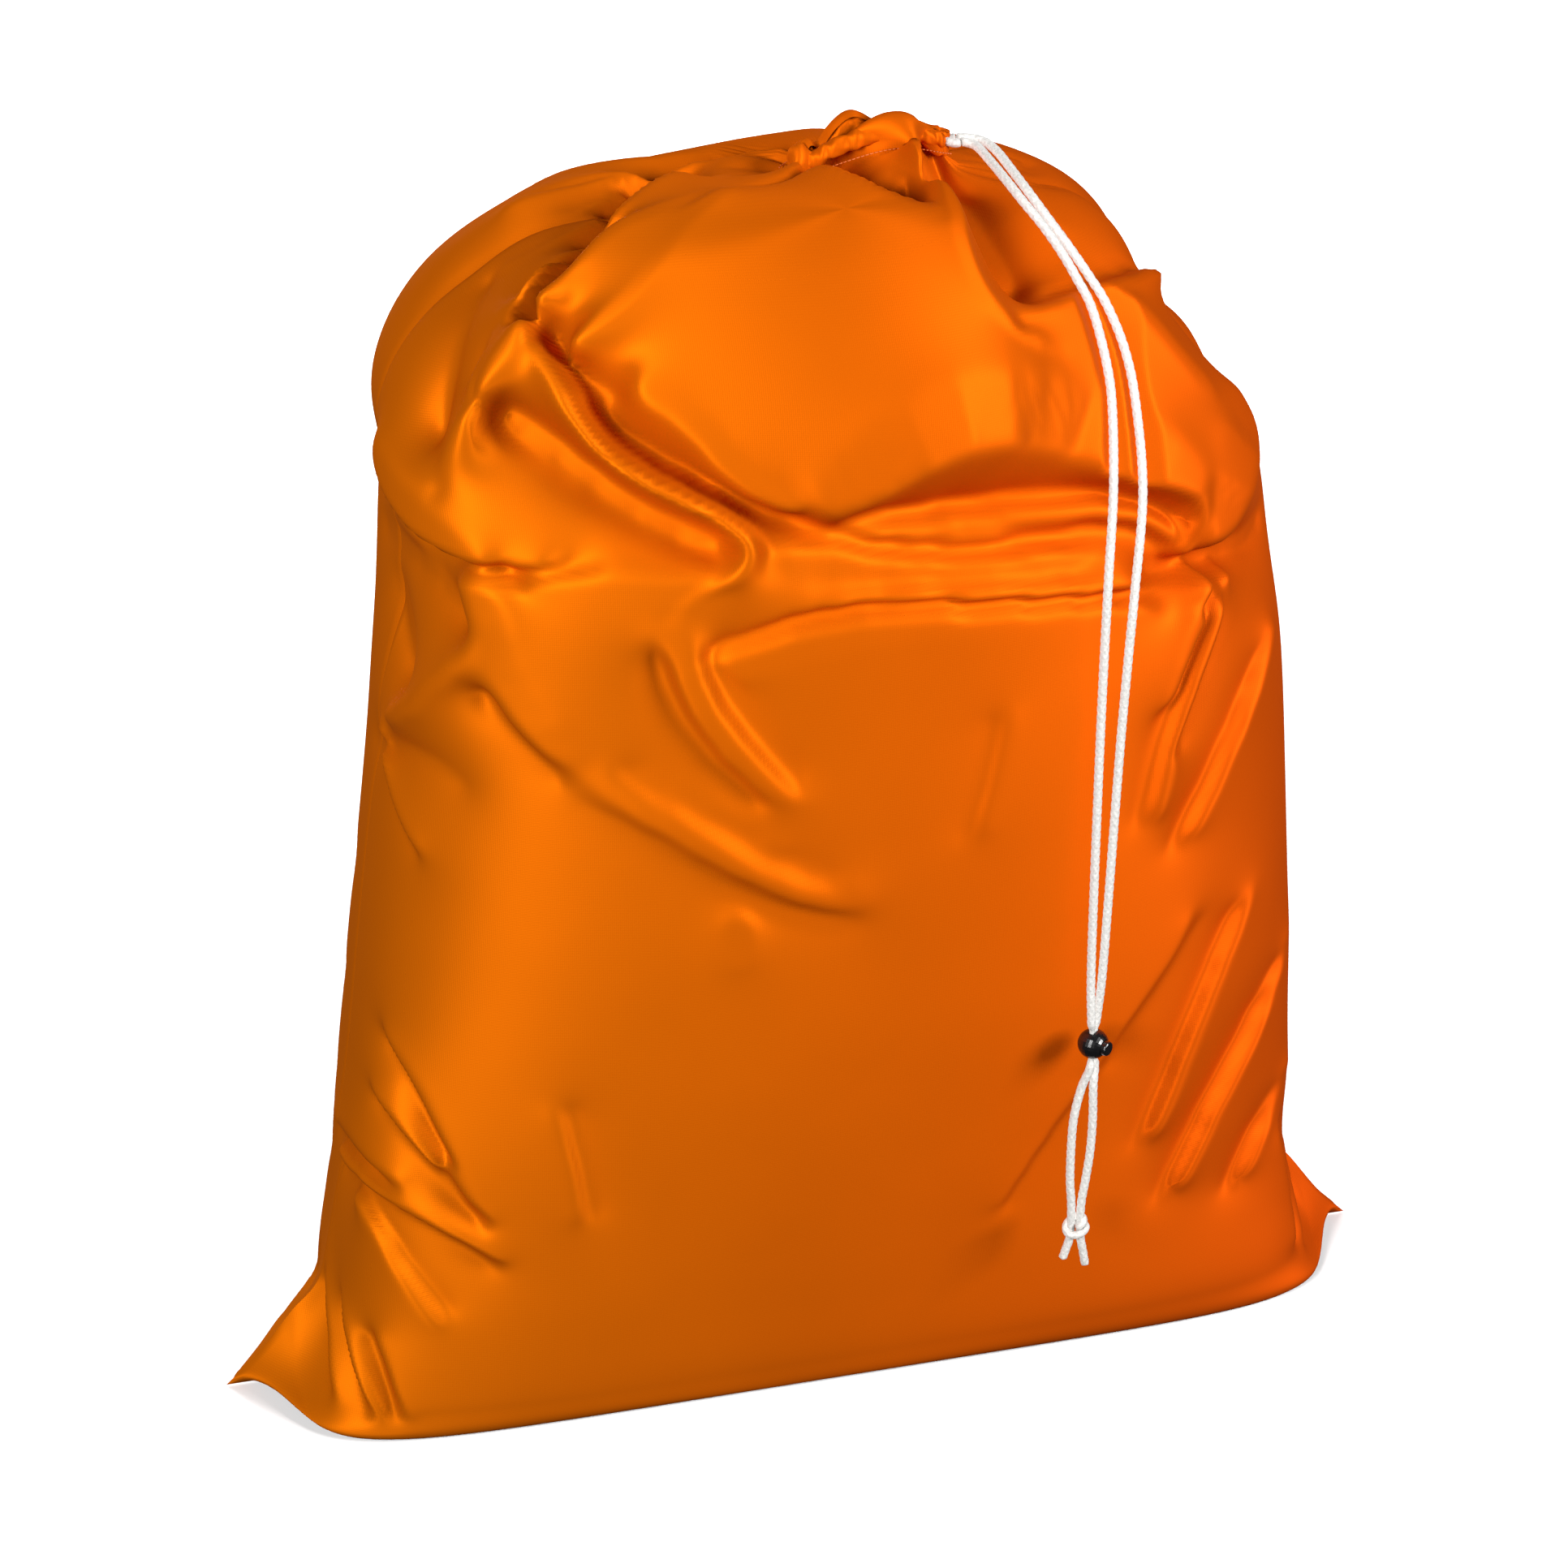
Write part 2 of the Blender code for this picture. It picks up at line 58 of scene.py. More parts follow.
# ---- Cord and lock, as in the CAD part ----
CORD_DIAMETER = 0.005
OUTLET = Vector((0.0885, 0.004, 0.7703))
MOUTH_CENTRE = Vector((0.038, 0.0, 0.7703))
MOUTH_RADIUS = 0.042
LOCK_CENTRE = Vector((0.1324, -0.161, 0.265))
LOCK_AXIS = Vector((math.cos(math.radians(-52)), math.sin(math.radians(-52)), 0))
LOCK_ACROSS = Vector((-LOCK_AXIS.y, LOCK_AXIS.x, 0))
PINCHED_CORD = 0.64
KNOT_CENTRE = Vector((0.1259, -0.161, 0.137))
# The routes of both strands, above and below the lock, in millimetres.
LEFT_ROUTE = [
    (88.5, -4, 770.3), (90.5, -4, 770.3), (96.5, -9, 769), (99, -27, 766), (101.5, -47, 762), (106.5, -63, 754.5),
    (114, -75, 744.5), (121.5, -85.5, 732.5), (128, -95, 719.5), (134.5, -104.5, 704), (138.5, -119.5, 678.5),
    (139, -131, 655.5), (135.5, -148, 614), (131, -158.5, 570), (129.4, -161, 520), (129, -161, 460),
    (129, -161, 360), (129.4, -161, 310),
]
RIGHT_ROUTE = [
    (88.5, 4, 770.3), (90.5, 4, 770.3), (98.5, 3.5, 769.2), (104.5, -2, 768), (107.5, -14, 766), (109, -31, 763),
    (112.5, -53, 756.5), (119, -69, 746), (127.5, -82, 733), (136.5, -91.5, 718.5), (144.5, -99.5, 704),
    (151.5, -111.5, 682.5), (154.5, -125, 656), (153.5, -146, 610), (146.5, -159, 555), (143.9, -161, 520),
    (141.2, -161, 460), (138, -161, 360), (136.2, -161, 310),
]
LEFT_BELOW = [
    (126.2, -161, 235), (122.2, -161, 214.8), (121.2, -161, 192.5), (121.4, -161, 170.5), (122.6, -161, 156),
    (123, -161, 143.7), (122.5, -161, 129.5), (120.7, -161, 122.5), (118.4, -161, 114.7),
]
RIGHT_BELOW = [
    (133.6, -161, 234.6), (134.1, -161, 212.9), (133.4, -161, 190.6), (131.2, -161, 170), (129.3, -161, 156),
    (128.8, -161, 143.7), (129.3, -161, 129.5), (131.2, -161, 119), (133.2, -161, 107.8),
]

# ---- The bag's loft, from the middle of the base up to the gathered mouth ----
# Height in the middle, height at the side seam, half width, half depth, squareness, centre in x, tilt in x.
RINGS = np.array([
    (0, 0, 0.374, 0, 2, 0, 0),
    (0, 0.02, 0.354, 0.046, 4, 0.001, 0),
    (0, 0.046, 0.334, 0.09, 6, 0.002, 0),
    (0.026, 0.068, 0.317, 0.105, 5, 0.003, 0),
    (0.08, 0.104, 0.307, 0.117, 4, 0.004, 0),
    (0.16, 0.17, 0.3, 0.131, 3.2, 0.007, 0),
    (0.28, 0.28, 0.29, 0.147, 2.8, 0.011, 0),
    (0.4, 0.4, 0.278, 0.157, 2.6, 0.014, 0),
    (0.5, 0.5, 0.269, 0.163, 2.5, 0.014, -0.02),
    (0.575, 0.57, 0.266, 0.163, 2.4, 0.011, -0.06),
    (0.638, 0.628, 0.255, 0.153, 2.3, 0.006, -0.09),
    (0.692, 0.682, 0.225, 0.135, 2.2, 0.005, -0.09),
    (0.731, 0.724, 0.18, 0.11, 2.1, 0.01, -0.07),
    (0.754, 0.75, 0.125, 0.084, 2, 0.02, -0.04),
    (0.762, 0.761, 0.08, 0.062, 2, 0.031, -0.02),
    (0.7645, 0.7645, 0.053, 0.051, 2, 0.0375, 0),
    (0.77, 0.77, 0.05, 0.0495, 2, 0.038, 0),
    (0.7765, 0.7765, 0.0475, 0.0475, 2, 0.038, 0),
    (0.779, 0.779, 0.0425, 0.0425, 2, 0.038, 0),
    (0.7765, 0.7765, 0.037, 0.037, 2, 0.038, 0),
])
SIDE_RISE_POWER = 12
BASE_RING = 2.0  # the front and back bottom edges: what lies before it stands on the floor
ROWS = 330
HALF_COLUMNS = 300
CREST = 2.8  # mm, the radius of a crease's crest
CREASE_STEP = 0.0015  # between the places where a crease holds the cloth
HOLD = 25.0  # how firmly a crease holds the cloth, against the cloth's own pull
REACH = 0.032  # how far a crease is felt in the cloth beside it
SWEEPS = 320  # of the membrane's solver
OVERSTEP = 1.6  # how far the solver goes past each new level, to get there sooner
CORD_TROUGH = 0.6  # the slope of the trough that a cord presses into the cloth
TROUGH_WIDTH = 0.040  # from the cord out

# ---- Finishes ----
NYLON = (0.49, 0.080, 0.001)
# The nylon's orange with a painted tint of light across it: yellower on the left, redder on the right.
NYLON_AND_PAINTED_SIDE_TINT = ((0.0, (0.44, 0.095, 0.001)), (0.35, (0.49, 0.090, 0.001)), (0.62, (0.50, 0.076, 0.001)),
                (1.0, (0.51, 0.060, 0.002)))  # from the left side of the bag to the right
THREAD_PITCH = 0.0011  # of the nylon's weave


# ---- Curves and small mesh tools ----
def mm(value):
    """A number, or an array of anything listed, from millimetres."""
    return (value if isinstance(value, (int, float)) else np.array(value)) / 1000


def catmull_rom(rows, where):
    """Values at fractional row numbers of a smooth curve through the rows."""
    rows = np.asarray(rows, float)
    padded = np.vstack([2 * rows[0] - rows[1], rows, 2 * rows[-1] - rows[-2]])
    where = np.atleast_1d(np.asarray(where, float))
    i = np.clip(where.astype(int), 0, len(rows) - 2)
    t = (where - i)[:, None]
    a, b, c, d = padded[i], padded[i + 1], padded[i + 2], padded[i + 3]
    return 0.5 * (2 * b + (c - a) * t + (2 * a - 5 * b + 4 * c - d) * t**2 + (3 * b - a - 3 * c + d) * t**3)


def along(line):
    return np.concatenate([[0], np.cumsum(np.linalg.norm(np.diff(line, axis=0), axis=1))])


def resample(line, spacing):
    """Evenly spaced points on a polyline."""
    length = along(line)
    steps = np.linspace(0, length[-1], max(2, round(length[-1] / spacing) + 1))
    return np.stack([np.interp(steps, length, line[:, k]) for k in range(3)], axis=1)


def smooth_route(points, spacing):
    points = np.array([tuple(p) for p in points], float)
    fine = catmull_rom(points, np.linspace(0, len(points) - 1, 24 * len(points)))
    return resample(fine, spacing)


def eased(points):
    """The points of a line with its kinks taken out. The ends stay."""
    points = np.array([tuple(p) for p in points], float)
    points[1:-1] = (points[:-2] + 2 * points[1:-1] + points[2:]) / 4
    return points


def smoothstep(x):
    x = np.clip(x, 0, 1)
    return x * x * (3 - 2 * x)


def faded(share, fade, slack=0.0):
    """How strong a fold is along its line: it dies away over a share of the line at each end."""
    start, end = (smoothstep((way + slack) / over) if over else 1.0
                  for way, over in ((share, fade[0]), (1 - share, fade[1])))
    return start * end


def grid_faces(rows, columns, closed):
    """Quads of a grid of points, joined round its columns if closed."""
    i = np.arange(rows - 1)[:, None]
    j = np.arange(columns if closed else columns - 1)[None, :]
    after = (j + 1) % columns
    quads = np.stack([i * columns + j, i * columns + after, (i + 1) * columns + after, (i + 1) * columns + j], -1)
    return quads.reshape(-1, 4)


def tube_faces(rings, sides, start=0, flip=False):
    """Faces of a closed tube of rings, flat at both ends, whose points begin at the number start."""
    faces = [tuple(int(v) + start for v in f) for f in grid_faces(rings, sides, True)]
    last = start + (rings - 1) * sides
    faces += [tuple(range(start, start + sides))[::-1], tuple(range(last, last + sides))]
    return [f[::-1] for f in faces] if flip else faces


def add_mesh(name, points, faces, finish):
    mesh = bpy.data.meshes.new(name)
    mesh.from_pydata(np.asarray(points, float).reshape(-1, 3).tolist(), [], [tuple(map(int, f)) for f in faces])
    mesh.shade_smooth()
    mesh.update()
    obj = bpy.data.objects.new(name, mesh)
    bpy.context.scene.collection.objects.link(obj)
    obj.data.materials.append(finish)
    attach(obj, "bag")
    return obj


def frames_along(path):
    """Two unit vectors across a path at each point, turning as little as they can."""
    tangent = np.gradient(path, axis=0)
    tangent /= np.linalg.norm(tangent, axis=1)[:, None]
    side = np.zeros_like(path)
    guess = np.array([0.0, 1.0, 0.0]) if abs(tangent[0][1]) < 0.9 else np.array([1.0, 0.0, 0.0])
    for i, t in enumerate(tangent):
        guess = guess - t * (guess @ t)
        guess /= np.linalg.norm(guess)
        side[i] = guess
    return side, np.cross(tangent, side)


def braided_tube(name, path, finish, radius=CORD_DIAMETER / 2, widths=None, tip=0.0):
    """A round braid: rows of small lens-shaped yarns, crossing at a slope, on a tube along the path."""
    sides, yarns, pitch, relief = 24, 4, 0.0054, 0.17
    length = along(path)
    side, up = frames_along(path)
    turn = np.linspace(0, math.tau, sides, endpoint=False)[None, :]
    travel = (math.tau * length / pitch)[:, None]
    one, other = yarns * turn + travel, yarns * turn - travel
    bump = np.maximum(np.cos(one / 2) ** 2, np.cos(other / 2) ** 2)
    lens = 1 - relief + relief * bump
    width = np.ones(len(path)) if widths is None else widths
    if tip:
        ends = np.minimum(length, length[-1] - length) / tip
        width = width * np.sqrt(np.clip(1 - (1 - np.clip(ends, 0.12, 1)) ** 2, 0, 1))
    r = radius * (1 + 0.3 * relief) * lens * width[:, None]
    points = (path[:, None, :] + (r * np.cos(turn))[..., None] * side[:, None, :]
              + (r * np.sin(turn))[..., None] * up[:, None, :])
    return add_mesh(name, points, tube_faces(len(path), sides, flip=True), finish)


# ---- Materials ----
def new_material(name, colour, roughness, **inputs):
    finish = bpy.data.materials.new(name)
    finish.use_nodes = True
    finish.diffuse_color = (*colour, 1)
    shader = finish.node_tree.nodes["Principled BSDF"]
    shader.inputs["Base Color"].default_value = (*colour, 1)
    shader.inputs["Roughness"].default_value = roughness
    for key, value in inputs.items():
        shader.inputs[key.replace("_", " ")].default_value = value
    return finish, finish.node_tree, shader


def node(tree, kind, **values):
    made = tree.nodes.new(kind)
    for key, value in values.items():
        if key in made.inputs.keys():
            made.inputs[key].default_value = value
        else:
            setattr(made, key, value)
    return made


def ramp(tree, source, stops, *targets):
    made = tree.nodes.new("ShaderNodeValToRGB")
    elements = made.color_ramp.elements
    while len(elements) < len(stops):
        elements.new(0.5)
    for element, (place, colour) in zip(elements, stops):
        element.position = place
        element.color = (*colour, 1)
    tree.links.new(source, made.inputs[0])
    for target in targets:
        tree.links.new(made.outputs[0], target)
    return made.outputs[0]


def noise(tree, scale, detail, roughness=0.5):
    made = node(tree, "ShaderNodeTexNoise", Scale=scale, Detail=detail, Roughness=roughness)
    tree.links.new(node(tree, "ShaderNodeTexCoord").outputs["Object"], made.inputs["Vector"])
    return made.outputs["Fac"]


def remap(tree, source, low, high, low_result, high_result):
    made = node(tree, "ShaderNodeMapRange")
    for key, value in zip(("From Min", "From Max", "To Min", "To Max"), (low, high, low_result, high_result)):
        made.inputs[key].default_value = value
    tree.links.new(source, made.inputs["Value"])
    return made.outputs["Result"]


def calculate(tree, operation, first, second):
    """A sum of shader values. The second is a number or another output."""
    made = node(tree, "ShaderNodeMath", operation=operation)
    tree.links.new(first, made.inputs[0])
    if isinstance(second, float):
        made.inputs[1].default_value = second
    else:
        tree.links.new(second, made.inputs[1])
    return made.outputs[0]


def add_relief(tree, shader, source, strength, depth):
    """Lays fine relief over what the shader already has."""
    made = node(tree, "ShaderNodeBump", Strength=strength, Distance=depth)
    tree.links.new(source, made.inputs["Height"])
    normal = shader.inputs["Normal"]
    if normal.is_linked:
        tree.links.new(normal.links[0].from_socket, made.inputs["Normal"])
    tree.links.new(made.outputs[0], normal)


def nylon(name, tint=1.0):
    """Satin-faced nylon: a fine plain weave, a soft sheen, and a painted tint of light, yellower on the left and
    redder on the right.
    """
    finish, tree, shader = new_material(
        name, tuple(tint * c for c in NYLON), 0.58, Metallic=0.42, Specular_Tint=(0.60, 0.20, 0.02, 1), IOR=1.2,
        Anisotropic=0.6, Anisotropic_Rotation=0.25)
    threads = node(tree, "ShaderNodeTangent", direction_type="RADIAL", axis="Z")
    tree.links.new(threads.outputs[0], shader.inputs["Tangent"])
    parts = node(tree, "ShaderNodeSeparateXYZ")
    tree.links.new(node(tree, "ShaderNodeTexCoord").outputs["Object"], parts.inputs[0])
    # Painted tint of light: the colour runs from yellower on the left side to redder on the right.
    colour = ramp(tree, remap(tree, parts.outputs["X"], -0.32, 0.34, 0, 1),
                  [(place, tuple(tint * c for c in stop)) for place, stop in NYLON_AND_PAINTED_SIDE_TINT])
    # Broad faint clouds, as cloth that was folded has.
    mixed = node(tree, "ShaderNodeVectorMath", operation="SCALE")
    tree.links.new(colour, mixed.inputs[0])
    tree.links.new(remap(tree, noise(tree, 7.0, 3.0), 0.3, 0.7, 0.955, 1.03), mixed.inputs["Scale"])
    tree.links.new(mixed.outputs[0], shader.inputs["Base Color"])
    # The weave: warp threads stand upright and weft threads run across.
    waves = [calculate(tree, "SINE", calculate(tree, "MULTIPLY", parts.outputs[axis], math.tau / THREAD_PITCH), 0.0)
             for axis in "XZ"]
    weave = calculate(tree, "MULTIPLY", calculate(tree, "ADD", *waves), 0.5)
    add_relief(tree, shader, weave, 0.10, 0.0002)
    add_relief(tree, shader, noise(tree, 900.0, 2.0, 0.6), 0.10, 0.0003)
    return finish


def white_braid():
    finish, tree, shader = new_material("white_cord", (0.42, 0.41, 0.39), 0.62, Subsurface_Weight=0.12,
                                        Subsurface_Radius=(0.002, 0.0018, 0.0015), Sheen_Weight=0.2)
    fibre = noise(tree, 700.0, 3.0, 0.6)
    ramp(tree, fibre, [(0.3, (0.37, 0.36, 0.34)), (0.7, (0.53, 0.52, 0.50))], shader.inputs["Base Color"])
    add_relief(tree, shader, fibre, 0.35, 0.0003)
    return finish


def black_plastic():
    finish, tree, shader = new_material("black_plastic", (0.003, 0.003, 0.0035), 0.22, Coat_Weight=0.15,
                                        Coat_Roughness=0.12)
    grain = noise(tree, 420.0, 3.0, 0.55)
    tree.links.new(remap(tree, grain, 0, 1, 0.16, 0.34), shader.inputs["Roughness"])
    add_relief(tree, shader, grain, 0.08, 0.0002)
    return finish


def spring_steel():
    finish, tree, shader = new_material("spring_steel", (0.55, 0.55, 0.56), 0.3, Metallic=1.0)
    drawn = noise(tree, 600.0, 2.0)
    ramp(tree, drawn, [(0.3, (0.42, 0.42, 0.43)), (0.7, (0.62, 0.62, 0.63))], shader.inputs["Base Color"])
    return finish


def sewing_thread():
    finish, tree, shader = new_material("orange_thread", (0.48, 0.090, 0.004), 0.5)
    twist = noise(tree, 1500.0, 2.0)
    ramp(tree, twist, [(0.3, (0.36, 0.060, 0.002)), (0.7, (0.52, 0.100, 0.005))], shader.inputs["Base Color"])
    add_relief(tree, shader, twist, 0.3, 0.0002)
    return finish


# ---- Camera and cords ----
def make_camera():
    lens = bpy.data.cameras.new("camera")
    lens.lens = CAMERA_LENS
    lens.sensor_width = SENSOR_WIDTH
    camera = bpy.data.objects.new("camera", lens)
    camera.location = CAMERA_PLACE
    camera.rotation_euler = CAMERA_TURN
    bpy.context.scene.collection.objects.link(camera)
    bpy.context.scene.camera = camera


def through_lock(side):
    together, pinched = 0.0029, 0.00175
    return [LOCK_CENTRE + side * offset * LOCK_ACROSS + Vector((0, 0, rise))
            for offset, rise in ((together, 0.017), (pinched, 0.0105), (pinched, 0.0), (pinched, -0.0105),
                                 (together, -0.017))]


def make_cords(cord):
    strands = []
    for name, above, side, below in (("left", LEFT_ROUTE, -1, LEFT_BELOW), ("right", RIGHT_ROUTE, 1, RIGHT_BELOW)):
        path = smooth_route([*mm(above), *through_lock(side), *mm(below)], 0.0009)
        rise = np.abs(path[:, 2] - LOCK_CENTRE.z)
        widths = PINCHED_CORD + (1 - PINCHED_CORD) * np.clip((rise - 0.0098) / 0.0042, 0, 1)
        strand = braided_tube(f"drawcord_{name}", path, cord, widths=widths, tip=0.0012)
        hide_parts(f"drawcord_{name}_strand", f"drawcord_{name}_tail")
        strand.visible_shadow = False  # two hard shadows on the cloth would look like folds
        strands.append((strand, path))
    knot = make_knot(cord)
    return [path for _, path in strands]


def make_knot(cord):
    """The overhand knot's wraps: the cord once round both strands, and tucked under itself."""
    turns = np.linspace(-0.15, 1.35, 90)
    angle = math.tau * turns - 0.6
    path = np.stack([KNOT_CENTRE.x + 0.0058 * np.cos(angle) + 0.0016 * (turns - 0.6),
                     KNOT_CENTRE.y + 0.0040 * np.sin(angle),
                     KNOT_CENTRE.z + 0.0030 * np.sin(angle + 0.7) - 0.0052 * (turns - 0.6)], axis=1)
    knot = braided_tube("knot_wraps", resample(path, 0.0007), cord, radius=0.0023, tip=0.002)
    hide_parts("drawcord_knot")
    return knot


def make_cord_in_hem(cord):
    gap = math.radians(16.0)
    ring = draw([tuple(MOUTH_CENTRE + MOUTH_RADIUS * Vector((math.cos(a), math.sin(a), 0)))
                 for a in np.linspace(gap, math.tau - gap, 60)])
    start = OUTLET - Vector((0.0008, 0, 0))
    end = Vector((start.x, -start.y, start.z))
    inlet = [start, start + Vector((-0.003, 0.0002, 0))]
    outlet = [end + Vector((-0.003, -0.0002, 0)), end]
    path = smooth_route([*inlet, *ring, *outlet], 0.0012)
    held = braided_tube("drawcord_in_channel", path, cord)
    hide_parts("drawcord_in_hem")


# ---- Cloth: the loft ----
def half_ring(half_width, half_depth, squareness, share):
    """Points of half a squared ellipse at shares from -1 to 1 of its length, left side seam to right."""
    angle = np.linspace(0, math.pi, 721)
    x = -half_width * np.sign(np.cos(angle)) * np.abs(np.cos(angle)) ** (2 / squareness)
    y = half_depth * np.abs(np.sin(angle)) ** (2 / squareness)
    length = np.concatenate([[0], np.cumsum(np.hypot(np.diff(x), np.diff(y)))])
    want = (share + 1) / 2 * length[-1]
    return np.interp(want, length, x), np.interp(want, length, y)


def loft():
    """The smooth bag: points (ROWS, 2 * HALF_COLUMNS, 3), and each row's distance up the front from its bottom edge.

    Columns 0 to HALF_COLUMNS - 1 are the front from the left seam on, and the rest are the back.
    """
    fine = np.linspace(0, len(RINGS) - 1, 1501)
    middle = catmull_rom(RINGS, fine)
    profile = np.stack([np.zeros(len(fine)), -np.maximum(middle[:, 3], 0), np.maximum(middle[:, 0], 0)], axis=1)
    length = along(profile)
    steps = np.interp(np.linspace(0, length[-1], ROWS), length, fine)
    rise = np.interp(steps, fine, length) - np.interp(BASE_RING, fine, length)
    share = np.linspace(-1, 1, HALF_COLUMNS + 1)[:-1]
    points = np.zeros((ROWS, 2 * HALF_COLUMNS, 3))
    for i, (mid, edge, width, depth, square, centre, tilt) in enumerate(catmull_rom(RINGS, steps)):
        x, y = half_ring(width, max(depth, 0.0), max(square, 2.0), share)
        x = np.concatenate([x, -x])
        y = np.concatenate([-y, y])
        climb = np.abs(np.concatenate([share, -share])) ** SIDE_RISE_POWER
        points[i, :, 0] = centre + x
        points[i, :, 1] = y
        points[i, :, 2] = max(mid, 0) + (edge - max(mid, 0)) * climb + tilt * x
    return points, rise


def outward_normals(points):
    across = np.roll(points, -1, axis=1) - np.roll(points, 1, axis=1)
    up = np.gradient(points, axis=0)
    normal = np.cross(across, up)
    length = np.linalg.norm(normal, axis=2, keepdims=True)
    return normal / np.maximum(length, 1e-12)


# ---- Cloth: the folds ----
# The lobes that the drawn hem stands up in: degrees round the mouth from the right-hand seam, how wide in
# degrees, and how high.
LOBES = ((-80, 45, 0.011), (-150, 16, -0.004), (172, 20, -0.004), (136, 9, -0.005), (104, 20, 0.012),
         (50, 12, 0.003))
SLIT = 0.17  # the drawn mouth is a slit: its depth as a share of its width


def draw(points):
    """Where the drawcord takes points beside the mouth: in to a slit from front and back, and up in lobes.

    A point keeps its distance from the middle of the hem.
    """
    points = np.asarray(points, float)
    x, y = points[..., 0] - MOUTH_CENTRE.x, points[..., 1] - MOUTH_CENTRE.y
    reach, turn = np.hypot(x, y), np.arctan2(y, x)
    lift = np.zeros_like(x)
    for middle, width, height in LOBES:
        away = (np.degrees(turn) - middle + 180) % 360 - 180
        lift += height * np.exp(-((away / width) ** 2))
    out = reach - MOUTH_RADIUS
    way = np.stack([SLIT * np.cos(turn), np.sin(turn)], axis=-1)
    way /= np.linalg.norm(way, axis=-1, keepdims=True)
    drawn = points.copy()
    drawn[..., 0] = MOUTH_CENTRE.x + MOUTH_RADIUS * np.cos(turn) + out * way[..., 0]
    drawn[..., 1] = MOUTH_CENTRE.y + SLIT * MOUTH_RADIUS * np.sin(turn) + out * way[..., 1]
    drawn[..., 2] += lift
    share = (smoothstep((0.100 - reach) / 0.055) * smoothstep((points[..., 2] - 0.70) / 0.04))[..., None]
    return points + (drawn - points) * share


